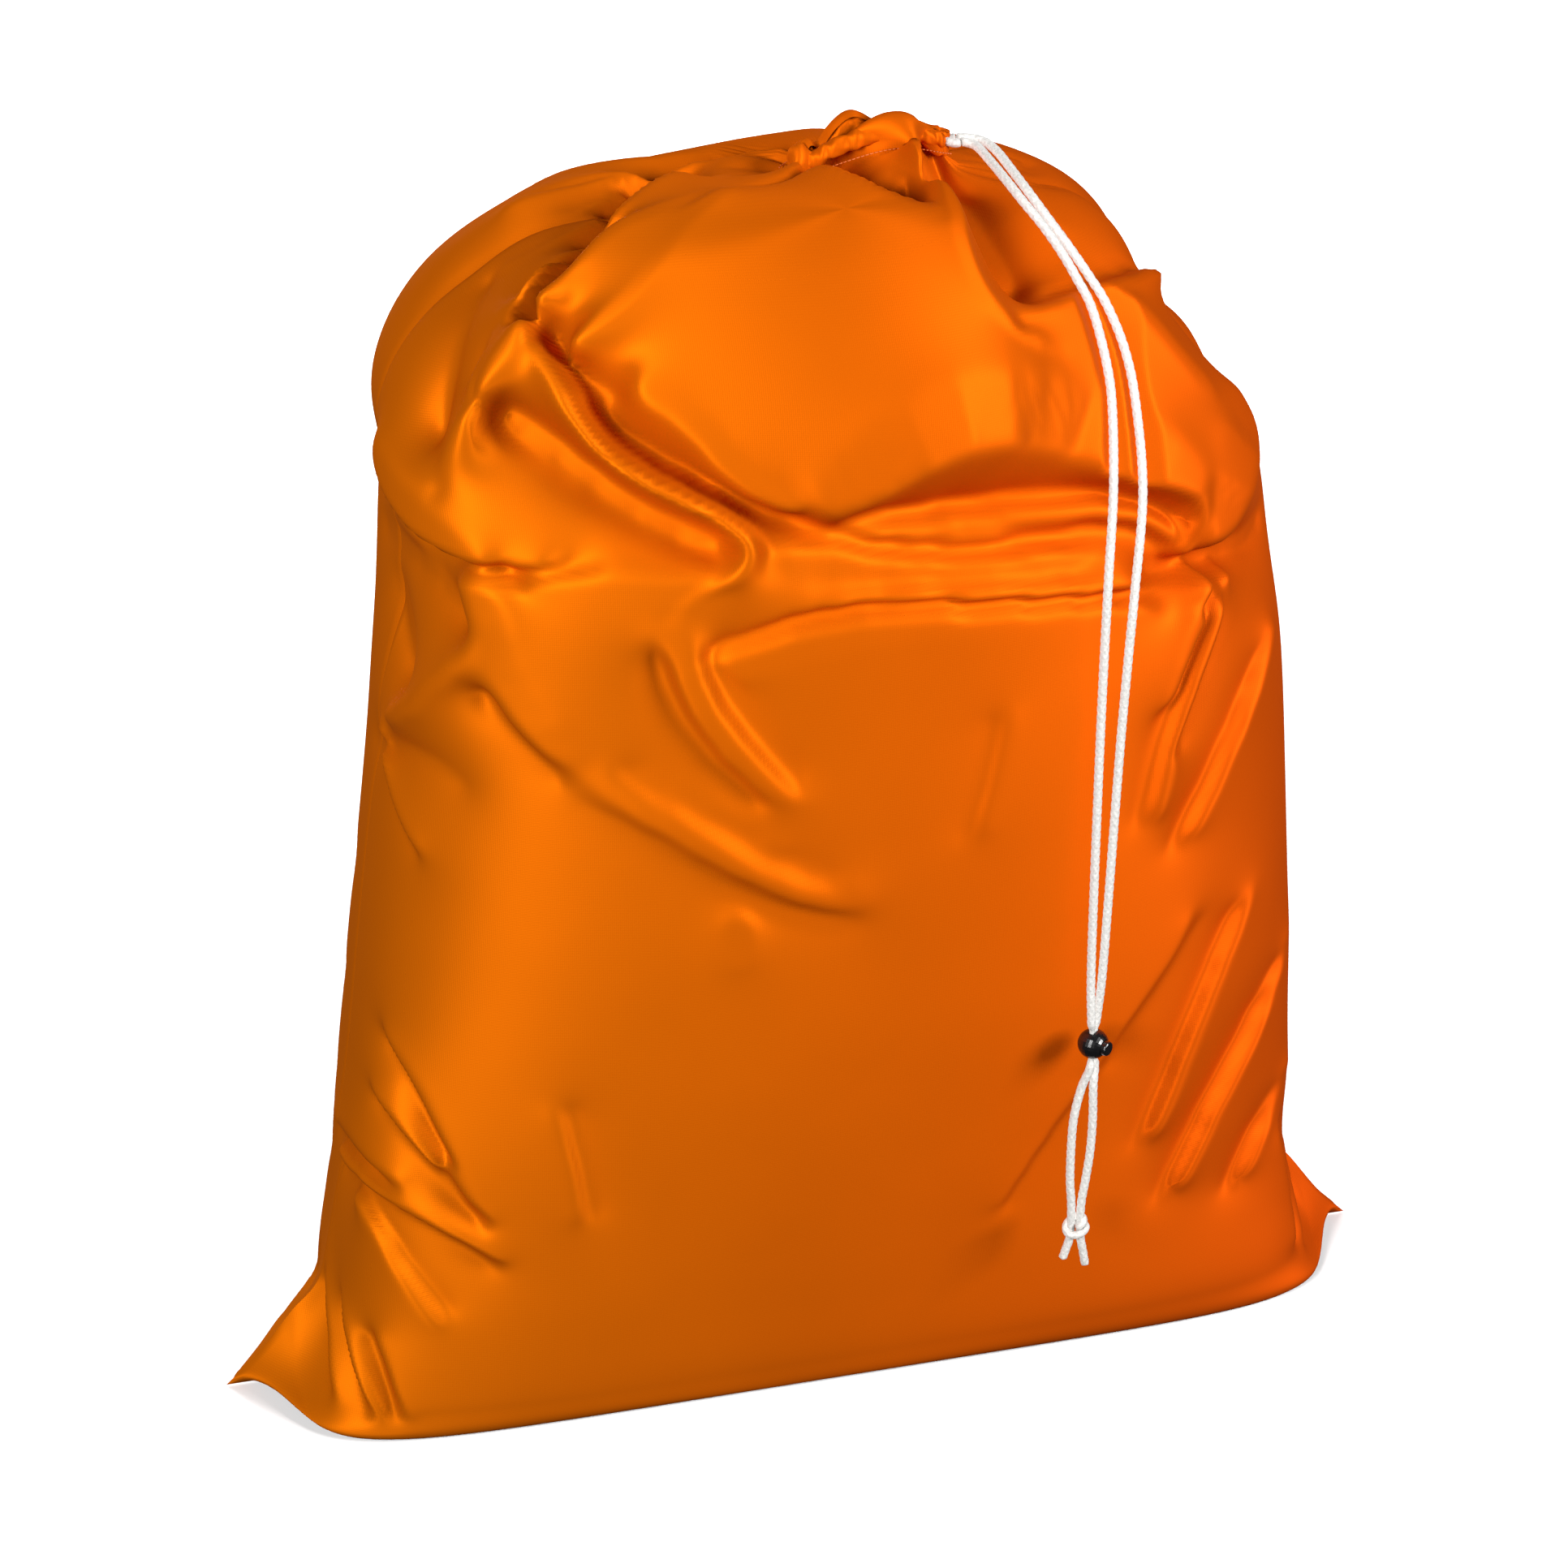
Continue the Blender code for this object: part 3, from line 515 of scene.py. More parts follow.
class Cloth:
    """The loft's points with what the folds add to them. A fold's places are measured on the smooth loft."""

    def __init__(self):
        self.base, self.rise = loft()
        self.normal = outward_normals(self.base)
        self.flat_base = self.base.reshape(-1, 3)
        self.flat_normal = self.normal.reshape(-1, 3)
        self.shift = np.zeros_like(self.flat_base)
        self.soft, self.grip, self.pull = (np.zeros(len(self.flat_base)) for _ in range(3))

    def on_loft(self, point):
        """The loft's nearest point, as an index."""
        return int(np.argmin(((self.flat_base - np.array(point)) ** 2).sum(axis=1)))

    def near(self, line, reach):
        low, high = line.min(axis=0) - reach, line.max(axis=0) + reach
        return np.nonzero(((self.flat_base > low) & (self.flat_base < high)).all(axis=1))[0]

    def fold(self, points, height, below, above=None, crest=0.004, fade=(0.3, 0.3)):
        """Raises or sinks (negative height) the cloth along a line.

        The line runs through the points. below and above are how wide the slope is on its right-hand and
        left-hand side, seen from outside and going along it. crest is the radius that rounds the top. fade is
        the share of the line over which each end dies away.
        """
        above = below if above is None else above
        line = smooth_route(points, 0.004)
        snapped = np.array([self.on_loft(p) for p in line[::3]])
        normal = catmull_rom(self.flat_normal[snapped], np.linspace(0, len(snapped) - 1, len(line)))
        line = catmull_rom(self.flat_base[snapped], np.linspace(0, len(snapped) - 1, len(line)))
        side = np.cross(np.gradient(line, axis=0), normal)
        side /= np.maximum(np.linalg.norm(side, axis=1), 1e-9)[:, None]
        chosen = self.near(line, 3.2 * max(below, above))
        if not len(chosen):
            return
        place = self.flat_base[chosen]
        best = np.full(len(chosen), 1e9)
        nearest = np.zeros(len(chosen), int)
        for k, point in enumerate(line):
            gap = ((place - point) ** 2).sum(axis=1)
            closer = gap < best
            best[closer], nearest[closer] = gap[closer], k
        offset = place - line[nearest]
        across = (offset * side[nearest]).sum(axis=1)
        # Past an end, the distance along the line counts too, so the fold ends in a round nose.
        ended = (nearest == 0) | (nearest == len(line) - 1)
        distance = np.where(ended, np.sqrt(best), np.abs(across))
        width = np.where(across > 0, below, above)
        blend = smoothstep(across / (0.5 * (below + above)) + 0.5)
        width = np.where(np.abs(across) < 0.25 * (below + above), above + (below - above) * blend, width)
        rounded = np.sqrt(distance**2 + crest**2) - crest
        profile = np.exp(-((rounded / width) ** 1.15))
        amount = height * profile * faded(nearest / (len(line) - 1), fade)
        self.shift[chosen] += amount[:, None] * self.flat_normal[chosen]

    def puff(self, height, centre, radii):
        """Swells the cloth out, or in if height is negative, round a point. All in millimetres."""
        gap = (self.flat_base - mm(centre)) / mm(radii)
        self.soft += mm(height) * np.exp(-(gap**2).sum(axis=1))

    def crease(self, height, points, fade=(0.2, 0.2), crest=CREST):
        """Holds the cloth at a height over the loft along a line; below 0 it is a valley. All in millimetres.

        The height may be a list, with one for each point. A wide crest makes a soft roll.
        """
        crest = mm(crest)
        line = smooth_route(eased(mm(points)), CREASE_STEP)
        chosen = self.near(line, 0.025 + crest)
        place = self.flat_base[chosen]
        spots = np.array([place[((place - p) ** 2).sum(axis=1).argmin()] for p in line[::3]])
        spots = catmull_rom(eased(eased(spots)), np.linspace(0, len(spots) - 1, len(line)))
        share = np.linspace(0, 1, len(line))
        firm = faded(share, fade, 0.02) * np.ones(len(line))
        levels = np.interp(share, np.linspace(0, 1, len(points)), np.resize(height, len(points)))
        best, level = np.zeros(len(chosen)), np.zeros(len(chosen))
        for spot, strength, here in zip(spots, firm, levels):
            held = strength * np.exp(-((place - spot) ** 2).sum(axis=1) / crest**2)
            level = np.where(held > best, here, level)
            best = np.maximum(best, held)
        self.grip[chosen] += HOLD * best
        self.pull[chosen] += HOLD * best * mm(level)

    def stretch(self):
        """Stretches the cloth taut over all its creases, as a membrane: crisp at them and smooth between."""
        shape = self.base.shape[:2]
        across = np.maximum(np.linalg.norm(np.roll(self.base, -1, axis=1) - self.base, axis=2), 1e-4)
        upward = np.maximum(np.linalg.norm(np.diff(self.base, axis=0), axis=2), 1e-4)
        upward = np.concatenate([upward, upward[-1:]])
        east, north = upward / across, across / upward
        north[-1] = 0
        west, south = np.roll(east, 1, axis=1), np.roll(north, 1, axis=0)
        spring = across * upward / REACH**2
        grip, pull, soft = (value.reshape(shape) for value in (self.grip, self.pull, self.soft))
        total = east + west + north + south + spring + grip
        height = soft.copy()
        chequer = (np.indices(shape).sum(axis=0) % 2).astype(bool)
        for sweep in range(SWEEPS):
            side = chequer if sweep % 2 else ~chequer
            level = (east * np.roll(height, -1, axis=1) + west * np.roll(height, 1, axis=1)
                     + north * np.roll(height, -1, axis=0) + south * np.roll(height, 1, axis=0)
                     + spring * soft + pull) / total
            height = np.where(side, height + OVERSTEP * (level - height), height)
        for axis in (0, 1):
            height = 0.7 * height + 0.15 * (np.roll(height, 1, axis) + np.roll(height, -1, axis))
        self.shift += height.reshape(-1, 1) * self.flat_normal

    def press(self, path, radius):
        """Presses the cloth in where it would stand through a cord that lies on it."""
        count = 12  # of the path's points at a time
        for start in range(0, len(path), count):
            piece = path[start:start + count + 1]
            chosen = self.near(piece, TROUGH_WIDTH + 0.005)
            if not len(chosen):
                continue
            place = self.flat_base[chosen] + self.shift[chosen]
            gap = place[:, None, :] - piece[None, :, :]
            nearest = (gap**2).sum(axis=2).argmin(axis=1)
            offset = gap[np.arange(len(chosen)), nearest]
            normal = self.flat_normal[chosen]
            height = (offset * normal).sum(axis=1)
            aside = np.linalg.norm(offset - height[:, None] * normal, axis=1)
            allowed = CORD_TROUGH * np.maximum(aside - 0.6 * radius, 0) - radius - mm(0.6)
            sunk = np.where(aside < TROUGH_WIDTH, np.maximum(height - allowed, 0), 0)
            self.shift[chosen] -= sunk[:, None] * normal

    def result(self):
        """The folded points. The base stays on the floor."""
        free = smoothstep((self.rise + 0.004) / 0.05)[:, None, None]
        points = draw(self.base + self.shift.reshape(self.base.shape) * free)
        points[..., 2] = np.maximum(points[..., 2], 0.0)
        return points


def front_folds(cloth):
    """The big folds of the front, from the top down: each a height and the places that it runs through."""
    crease = cloth.crease
    # The big apron: the cloth that hangs full from the front of the mouth to the waist.
    cloth.puff(19, (-10, -135, 690), (90, 80, 75))
    cloth.puff(8, (0, -150, 655), (80, 60, 35))
    cloth.puff(9, (-150, -140, 550), (70, 60, 50))
    # The cords lie along a shallow trough at the waist.
    cloth.puff(-4, (137, -155, 530), (32, 60, 60))
    # The strip of parallel gathers from the mouth to the left shoulder.
    crease(5, [(-15, 30, 765), (-50, 35, 765), (-85, 25, 760), (-110, 30, 755), (-135, 30, 750), (-165, 25, 740)])
    crease(-6, [(-15, 55, 765), (-45, 40, 760), (-75, 25, 760), (-100, 15, 760), (-135, 10, 750)])
    # The pockets behind the long narrow ridges.
    crease(-16, [(-35, 55, 760), (-55, 45, 760), (-70, 40, 760)])
    crease(-7, [(-180, -20, 735), (-165, -25, 740), (-140, -15, 750), (-110, 0, 755)])
    # The two long narrow ridges from that pocket down to the left side.
    crease(12, [
        (-75, -10, 760), (-100, -30, 760), (-125, -45, 750), (-150, -55, 740), (-165, -60, 735), (-180, -65, 725),
        (-190, -70, 710), (-200, -80, 695), (-205, -85, 680), (-210, -90, 665)])
    crease(-5, [
        (-115, -20, 755), (-145, -45, 745), (-170, -55, 735), (-185, -70, 720), (-200, -75, 700), (-210, -80, 685)])
    crease([11, 14, 17, 18, 18, 18, 18, 17, 15, 11, 6], [
        (-70, -50, 760), (-100, -55, 755), (-130, -65, 745), (-145, -70, 735), (-160, -75, 725), (-170, -80, 720),
        (-180, -85, 710), (-195, -90, 690), (-205, -90, 675), (-215, -90, 655), (-225, -85, 630)])
    crease(-14, [
        (-190, -15, 730), (-200, -25, 720), (-210, -35, 715), (-220, -55, 695), (-230, -65, 670), (-230, -70, 650)])
    # The deep hollow between them and the apron, whose left lip stands over it.
    crease(-33, [(-75, 35, 760), (-100, 0, 755), (-130, -40, 750), (-150, -65, 740), (-165, -70, 725)], crest=6)
    crease(14, [
        (-55, -50, 760), (-75, -60, 755), (-95, -75, 745), (-110, -90, 735), (-125, -95, 725), (-135, -100, 720),
        (-150, -100, 710), (-160, -100, 705)])
    crease(-18, [
        (-175, -65, 725), (-170, -80, 715), (-165, -95, 710), (-160, -105, 700), (-150, -115, 690),
        (-135, -120, 685)])
    # The diagonal ridge, which hooks back at the waist, between two dark valleys.
    crease([12, 15, 18, 19, 19, 19, 18, 17, 15, 13, 11, 8, 5], [
        (-170, -85, 715), (-170, -95, 705), (-165, -105, 690), (-155, -115, 675), (-145, -125, 660),
        (-130, -135, 650), (-100, -145, 635), (-80, -150, 625), (-70, -155, 610), (-75, -155, 600), (-90, -155, 590),
        (-110, -155, 580), (-120, -150, 570)])
    crease([-18, -25, -27, -27, -25, -22, -17], [
        (-155, -115, 685), (-150, -125, 670), (-125, -135, 655), (-100, -145, 640), (-80, -150, 630),
        (-55, -155, 615), (-25, -160, 605)], crest=4)
    crease(8, [
        (-125, -120, 690), (-105, -130, 685), (-95, -135, 670), (-85, -145, 655), (-65, -150, 635),
        (-45, -155, 625)], crest=5)
    crease([-12, -18, -21, -22, -21, -18, -11], [
        (-205, -85, 680), (-195, -100, 670), (-175, -115, 660), (-155, -130, 640), (-130, -140, 620),
        (-105, -150, 610), (-85, -155, 605)], crest=5)
    # The sag on the left with the roll below it, the hollow beside them and the plateau on the right.
    crease([-20, -24, -24, -20, -14, -9, -5, -1], [
        (-255, 25, 605), (-255, -20, 600), (-245, -60, 595), (-225, -90, 590), (-210, -105, 590), (-190, -120, 590),
        (-170, -130, 595), (-150, -140, 600)])
    crease([8, 11, 13, 14, 15, 14, 12, 10, 8, 4], [
        (-250, -40, 635), (-240, -65, 620), (-230, -85, 610), (-215, -100, 600), (-205, -110, 590), (-205, -115, 570),
        (-205, -115, 545), (-200, -120, 525), (-185, -125, 505), (-170, -135, 480)], crest=7)
    crease([-14, -18, -20, -18, -10], [
        (-255, 30, 560), (-255, -25, 570), (-245, -65, 570), (-230, -90, 560), (-220, -100, 550)], crest=4)
    crease(-18, [(-255, -5, 535), (-255, -25, 515), (-250, -40, 500)], crest=6)
    crease([9, 9, 8, 7, 6, 4], [
        (-200, -115, 595), (-180, -125, 590), (-160, -135, 590), (-130, -145, 585), (-105, -155, 585),
        (-85, -155, 590)], crest=5)
    crease([13, 13, 11, 8, 4], [
        (-205, -110, 555), (-220, -100, 535), (-235, -85, 510), (-245, -65, 485), (-255, -35, 470)])
    crease(-6, [(-260, 10, 435), (-250, -55, 460), (-235, -80, 460), (-225, -95, 450)])
    crease(-4, [(-215, -105, 515), (-205, -115, 495), (-190, -125, 480), (-175, -130, 465)])
    # Softer folds below the waist on the left.
    crease([7, 8, 8, 7, 5, 3], [
        (-120, -150, 560), (-110, -155, 540), (-100, -155, 515), (-85, -155, 490), (-65, -160, 465),
        (-45, -160, 455)], (0.1, 0.4), 7)
    crease(-3, [(-125, -150, 555), (-120, -150, 525), (-110, -155, 500), (-90, -155, 470), (-70, -155, 450)], crest=4)
    crease(-3, [(-95, -155, 540), (-85, -160, 515), (-65, -160, 485), (-45, -160, 460)], crest=4)
    crease([3, 5, 6, 6, 4, 2], [
        (-160, -140, 475), (-130, -150, 455), (-100, -155, 440), (-70, -155, 410), (-40, -155, 390),
        (-10, -155, 380)], (0.3, 0.3), 7)
    crease(-2, [
        (-170, -135, 450), (-135, -145, 430), (-105, -150, 405), (-70, -155, 385), (-35, -155, 365),
        (-10, -155, 360)], crest=5)
    crease(-2, [(-145, -145, 475), (-115, -150, 455), (-85, -155, 435), (-55, -155, 405), (-20, -155, 390)], crest=5)
    crease(2, [(-80, -150, 375), (-80, -150, 360), (-80, -150, 345)], crest=5)
    # The underside of the apron, the soft ridge below it, the pipe, and the valleys between them.
    crease([12, 21, 27, 28, 23, 11, 3, 7, 12, 14], [
        (-30, -155, 630), (-10, -150, 650), (20, -145, 665), (55, -140, 670), (90, -135, 665), (120, -135, 650),
        (145, -130, 635), (155, -130, 625), (170, -130, 615), (185, -125, 600)], crest=10)
    crease([-14, -26, -32, -32, -27, -23, -19, -13], [
        (-20, -160, 615), (15, -160, 610), (65, -155, 610), (120, -145, 610), (150, -140, 605), (170, -135, 595),
        (185, -130, 585), (190, -130, 575)], crest=4)
    crease([-13, -17, -19, -18, -15, -12, -10, -8], [
        (-10, -160, 605), (20, -160, 605), (60, -155, 605), (110, -150, 605), (140, -145, 600), (160, -140, 595),
        (180, -135, 580), (195, -130, 560)], crest=4)
    crease([-12, -19, -23, -25, -26, -26, -25, -22, -20], [
        (-45, -155, 615), (-5, -160, 595), (30, -160, 590), (60, -160, 585), (95, -155, 585), (125, -150, 585),
        (145, -145, 585), (170, -140, 580), (185, -135, 565)])
    crease([0, -6, -9, -11, -11, -12, -15], [
        (-60, -160, 600), (-35, -160, 595), (0, -160, 585), (30, -160, 580), (80, -160, 575), (115, -155, 570),
        (130, -155, 565)], crest=7)
    crease([-7, -12, -15, -18, -20, -20, -20, -13], [
        (-100, -155, 545), (-85, -160, 550), (-55, -160, 560), (-20, -165, 565), (20, -165, 565), (80, -160, 555),
        (130, -155, 550), (185, -140, 540)])
    crease([0, 1, 2, 2, 1, -1, -2], [
        (-95, -155, 535), (-70, -160, 545), (-25, -165, 560), (10, -165, 560), (70, -160, 560), (120, -155, 550),
        (165, -145, 540)], crest=8)
    # The corner where the right-hand folds meet.
    crease([12, 8, 2, -6], [(190, -125, 595), (195, -125, 580), (195, -130, 570), (190, -135, 560)], (0.1, 0.1))
    crease([6, 12, 12, 5], [(230, -80, 625), (215, -105, 605), (210, -115, 590), (205, -125, 575)], crest=10)
    crease([-21, -24, -25, -23, -18, -12], [
        (165, -145, 555), (195, -135, 550), (225, -115, 545), (260, -80, 540), (270, -55, 540),
        (270, -55, 550)], crest=4)
    crease([3, 2, 0], [(205, -130, 545), (200, -130, 540), (190, -135, 530)], (0.1, 0.3))
    crease(-9, [(210, -125, 535), (195, -135, 525)], (0.1, 0.3))
    crease([-6, -8, -8, -6, -3], [
        (230, -115, 540), (220, -120, 520), (210, -125, 495), (195, -135, 460), (180, -140, 435)])
    crease([4, 5, 5, 3], [(205, -130, 545), (195, -135, 530), (185, -140, 505), (175, -140, 470)], crest=4)
    # The apron's right edge, which hooks round a triangular hollow, and the right shoulder.
    crease([10, 13, 15, 16, 16, 16, 14, 11, 6], [
        (60, -45, 765), (60, -75, 755), (55, -90, 745), (55, -100, 735), (60, -110, 725), (65, -115, 710),
        (80, -120, 700), (95, -125, 690), (110, -120, 685)])
    crease(-25, [(95, -25, 765), (95, -75, 745), (100, -95, 730), (105, -105, 715)], crest=5)
    crease(-9, [(100, -105, 715), (120, -95, 715), (150, -75, 715), (190, -45, 705)])
    crease(7, [(80, -120, 705), (105, -110, 705), (130, -95, 710), (165, -80, 705), (190, -55, 700)])
    crease(-8, [(140, 25, 750), (130, -20, 755), (135, -55, 740)])
    crease(10, [(155, -90, 700), (160, -90, 695), (180, -95, 665), (205, -95, 640)])
    crease(-12, [(205, -45, 690), (215, -55, 675), (225, -60, 655), (245, -45, 630)])
    # Notches in the outline, two on the right and one on the left.
    crease(-20, [(205, -55, 690), (212, 0, 688), (207, 40, 686)], crest=5)
    crease(-20, [(240, -65, 625), (250, 0, 623), (245, 45, 623)], crest=5)
    crease(-14, [(-250, -45, 590), (-255, 0, 592), (-250, 45, 594)], crest=5)
    # The tucked lobe at the front of the mouth, the pocket left of it, and the apron's upper lip.
    crease(-26, [(10, -30, 765), (8, -45, 764), (14, -56, 762)], (0.0, 0.2))
    crease(12, [(-20, -15, 765), (-12, -45, 763), (4, -64, 761), (22, -76, 757), (45, -86, 753), (60, -82, 752)])
    cloth.puff(6, (40, -48, 766), (26, 16, 20))
    crease(-16, [(14, -56, 762), (30, -70, 759), (48, -77, 757), (66, -62, 760), (72, -45, 764)])


def side_folds(cloth):
    """The slanting folds low on both sides, and the crumpled roots of the ears.

    Each is a narrow valley with a ridge beside it: the valley's depth and the ridge's offset in x and z.
    """
    for depth, (aside, up), points in (
        (5, (14, 4), [(205, -130, 525), (190, -140, 495), (170, -145, 460), (160, -145, 395)]),
        (6, (12, 6), [(255, -95, 485), (230, -115, 450), (210, -130, 415), (185, -140, 370)]),
        (4, (-11, 6), [(210, -125, 320), (195, -130, 290), (170, -135, 260), (150, -135, 225)]),
        (6, (12, 6), [(240, -115, 320), (215, -125, 275), (195, -125, 220), (175, -125, 155)]),
        (7, (12, 7), [(285, -80, 265), (255, -105, 225), (220, -115, 175), (195, -115, 110)]),
        (6, (10, 7), [(290, -75, 170), (265, -95, 145), (245, -105, 105)]),
        (3, (-10, 6), [(145, -135, 220), (115, -130, 175), (95, -125, 130)]),
        (2, (13, 2), [(65, -160, 490), (60, -160, 450), (50, -155, 410)]),
        (4, (-13, 0), [(-175, -130, 250), (-165, -130, 210), (-160, -125, 165)]),
        (4, (10, 4), [(-260, -15, 450), (-260, -40, 420), (-250, -75, 395)]),
        (5, (8, 10), [(-290, 20, 165), (-285, -40, 190), (-270, -80, 175)]),
        (6, (10, 8), [(-280, -50, 230), (-265, -80, 215), (-250, -100, 190), (-225, -110, 160)]),
        (7, (12, 6), [(-270, -55, 275), (-260, -80, 255), (-250, -95, 220), (-235, -105, 170)]),
        (6, (6, 9), [(-295, 0, 155), (-280, -65, 172), (-250, -95, 155), (-215, -110, 130)]),
        (5, (-8, -8), [(-290, -40, 172), (-275, -75, 152), (-265, -90, 125), (-245, -100, 95)]),
        (7, (10, 2), [(-300, -40, 80), (-305, -65, 50), (-298, -82, 15)]),
        (6, (8, 2), [(-310, -10, 75), (-313, -35, 45), (-318, -60, 15)]),
        (5, (10, 2), [(-290, -70, 75), (-286, -85, 45), (-282, -92, 15)]),
        (4, (-8, 2), [(-325, -5, 55), (-333, -25, 30), (-338, -40, 10)]),
        (7, (-10, 2), [(290, -80, 130), (305, -70, 85), (312, -68, 30)]),
        (6, (-8, 2), [(308, -30, 90), (320, -35, 50), (322, -55, 15)]),
        (4, (8, 2), [(325, -10, 60), (335, -22, 30), (340, -35, 10)]),
    ):
        beside = [(x + aside, y, z + up) for x, y, z in points]
        cloth.crease(-depth, points, (0.4, 0.4))
        cloth.crease(0.6 * depth, beside, (0.4, 0.4))


def back_folds(cloth):
    """Folds of the back, and the long gathers over both shoulders."""
    def fold(points, height, below, above=None, crest=3, fade=(0.3, 0.3)):
        cloth.fold(mm(points), mm(height), mm(below), None if above is None else mm(above), mm(crest), fade)

    # The shoulder gathers, from the mouth to the left.
    fold([(-5, 50, 765), (-40, 45, 762), (-85, 32, 758), (-130, 27, 750), (-175, 40, 735)], -5, 6, 6, 2, (0.15, 0.4))
    fold([(-15, 35, 765), (-55, 28, 765), (-95, 12, 758), (-135, 8, 750)], -5, 6, 6, 2, (0.15, 0.4))
    fold([(-15, 60, 765), (-60, 62, 757), (-120, 65, 742), (-180, 70, 712)], 4, 9, 9, 3, (0.15, 0.4))
    cloth.puff(-9, (-172, -20, 735), (20, 30, 20))
    # The right shoulder, which stands up in a point behind the cord.
    cloth.puff(17, (150, 30, 742), (30, 38, 22))
    fold([(80, 20, 765), (110, 20, 757), (140, 20, 745)], -4, 8, 10)
    # Long upright folds from the mouth down to the waist.
    for x, top, foot, slant in ((-160, 700, 500, 30), (-70, 730, 550, 15), (30, 740, 580, -10),
                                (110, 730, 540, -30), (180, 680, 470, -40)):
        places = [(x * 0.6 + 15, 90, top), (x, 135, (top + foot) / 2), (x + slant, 160, foot)]
        fold(places, -7, 13, 12, 5, (0.2, 0.5))
    # The waist, and the drags below it.
    fold([(-200, 120, 575), (-80, 160, 560), (60, 160, 572), (190, 130, 555)], -8, 16, 12, 5)
    fold([(-170, 130, 530), (-50, 160, 520), (100, 160, 535)], 5, 14, 14, 5)
    fold([(220, 120, 520), (120, 155, 470), (40, 160, 400)], -5, 13, 12, 4)
    fold([(-240, 100, 450), (-170, 135, 400), (-80, 150, 330)], -5, 12, 12, 4)
    # Slanting folds low on both sides, and the roots of the ears.
    for side in (-1, 1):
        for rise in (100, 160, 230, 310):
            fold([(side * 290, 30, rise + 50), (side * 260, 90, rise), (side * 200, 125, rise - 60)], -4, 8)
        for drop in (0, 14):
            fold([(side * (305 + drop), 30, 80), (side * (308 + drop), 50, 45), (side * (306 + drop), 75, 12)], -5, 6)


def mouth_pleats(cloth):
    """Small pleats that run out from the drawn hem all round, deeper at the hem, each its own length."""
    start = 0.045
    for k in range(20):
        degrees = 9 + 18 * k + 5 * math.sin(2.4 * k)  # one to every 18 degrees, unevenly
        if 215 < degrees < 330:
            continue  # the tucked lobe at the front has its own folds
        turn = math.radians(degrees)
        reach = 0.040 + 0.022 * (1 + math.sin(1.7 * k + 1))
        way = Vector((math.cos(turn), 0.8 * math.sin(turn), 0))
        places = [MOUTH_CENTRE + (start + reach * t) * way + Vector((0, 0, -0.008 - 0.012 * t)) for t in (0, 0.5, 1)]
        cloth.fold([tuple(p) for p in places], mm(-4.5), mm(4.5), mm(5), mm(1.5), (0.0, 0.6))


def make_panels(cloth, finish):
    """The front and the back panel, which meet at the side seams and along the bottom."""
    points = cloth.result()
    back, made = 2 * HALF_COLUMNS, []
    for name, columns in (("front_panel_cloth", range(0, HALF_COLUMNS + 1)),
                          ("back_panel_cloth", range(HALF_COLUMNS, back + 1))):
        grid = points[:, np.array(columns) % back]
        # The seam draws both panels' edges in, into a narrow groove.
        edges = grid[:, [0, -1], 0]
        grid[:, [0, -1], 0] -= np.sign(edges - mm(10)) * mm(1.0)
        made.append(add_mesh(name, grid, grid_faces(ROWS, len(columns), False), finish))
    return made


def make_side_seams(cloth, finish):
    """The seam allowances, which run up the inside of both sides and follow every fold that crosses them."""
    points, rise = cloth.result(), cloth.rise
    above_ear, below_hem = mm(35), mm(48)
    rows = np.nonzero((rise > above_ear) & (rise < rise[-1] - below_hem))[0]
    for name, column, inward in (("left", 0, 1), ("right", HALF_COLUMNS, -1)):
        edge = eased(eased(points[rows, column]))
        ring = [edge + np.array([inward * mm(across), thick, 0])
                for across, thick in ((2, mm(-1)), (10, mm(-1)), (10, mm(1)), (2, mm(1)))]
        ring = np.stack(ring if inward < 0 else ring[::-1], axis=1)
        seam = add_mesh(f"{name}_seam_allowance", ring, tube_faces(len(rows), 4), finish)
        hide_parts(f"{name}_side_seam")


# ---- The mouth ----
def make_hem(name, low, high, finish):
    """Half of the hem's inside: the turned-in cloth that holds the cord, crinkled where the cord draws it up."""
    steps, sides = 220, 24
    rows = []
    for degrees in np.linspace(low, high, steps):
        turn = math.radians(degrees)
        ripple = math.sin(math.radians(23 * degrees)) + 0.6 * math.sin(math.radians(37 * degrees) + 1)
        centre = draw(MOUTH_CENTRE + MOUTH_RADIUS * Vector((math.cos(turn), math.sin(turn), 0)))
        out = Vector((SLIT * math.cos(turn), math.sin(turn), 0)).normalized()
        tall, wide = mm(5.4) + mm(0.4) * ripple, mm(4.6) + mm(0.3) * ripple
        ring = []
        for k in range(sides):
            a = math.tau * k / sides
            crinkle = 1 + 0.05 * math.sin(5 * a + 0.31 * degrees)
            ring.append(Vector(centre) + wide * crinkle * math.cos(a) * out
                        + Vector((0, 0, tall * crinkle * math.sin(a))))
        rows.append(ring)
    return add_mesh(name, np.array([[tuple(p) for p in ring] for ring in rows]), tube_faces(steps, sides), finish)


def stitch_point(turn, out):
    """A point on the outside of the cloth just below the hem."""
    way = Vector((math.cos(turn), math.sin(turn), 0))
    return Vector(draw(MOUTH_CENTRE + (MOUTH_RADIUS + out) * way + Vector((0, 0, -mm(5.0)))))


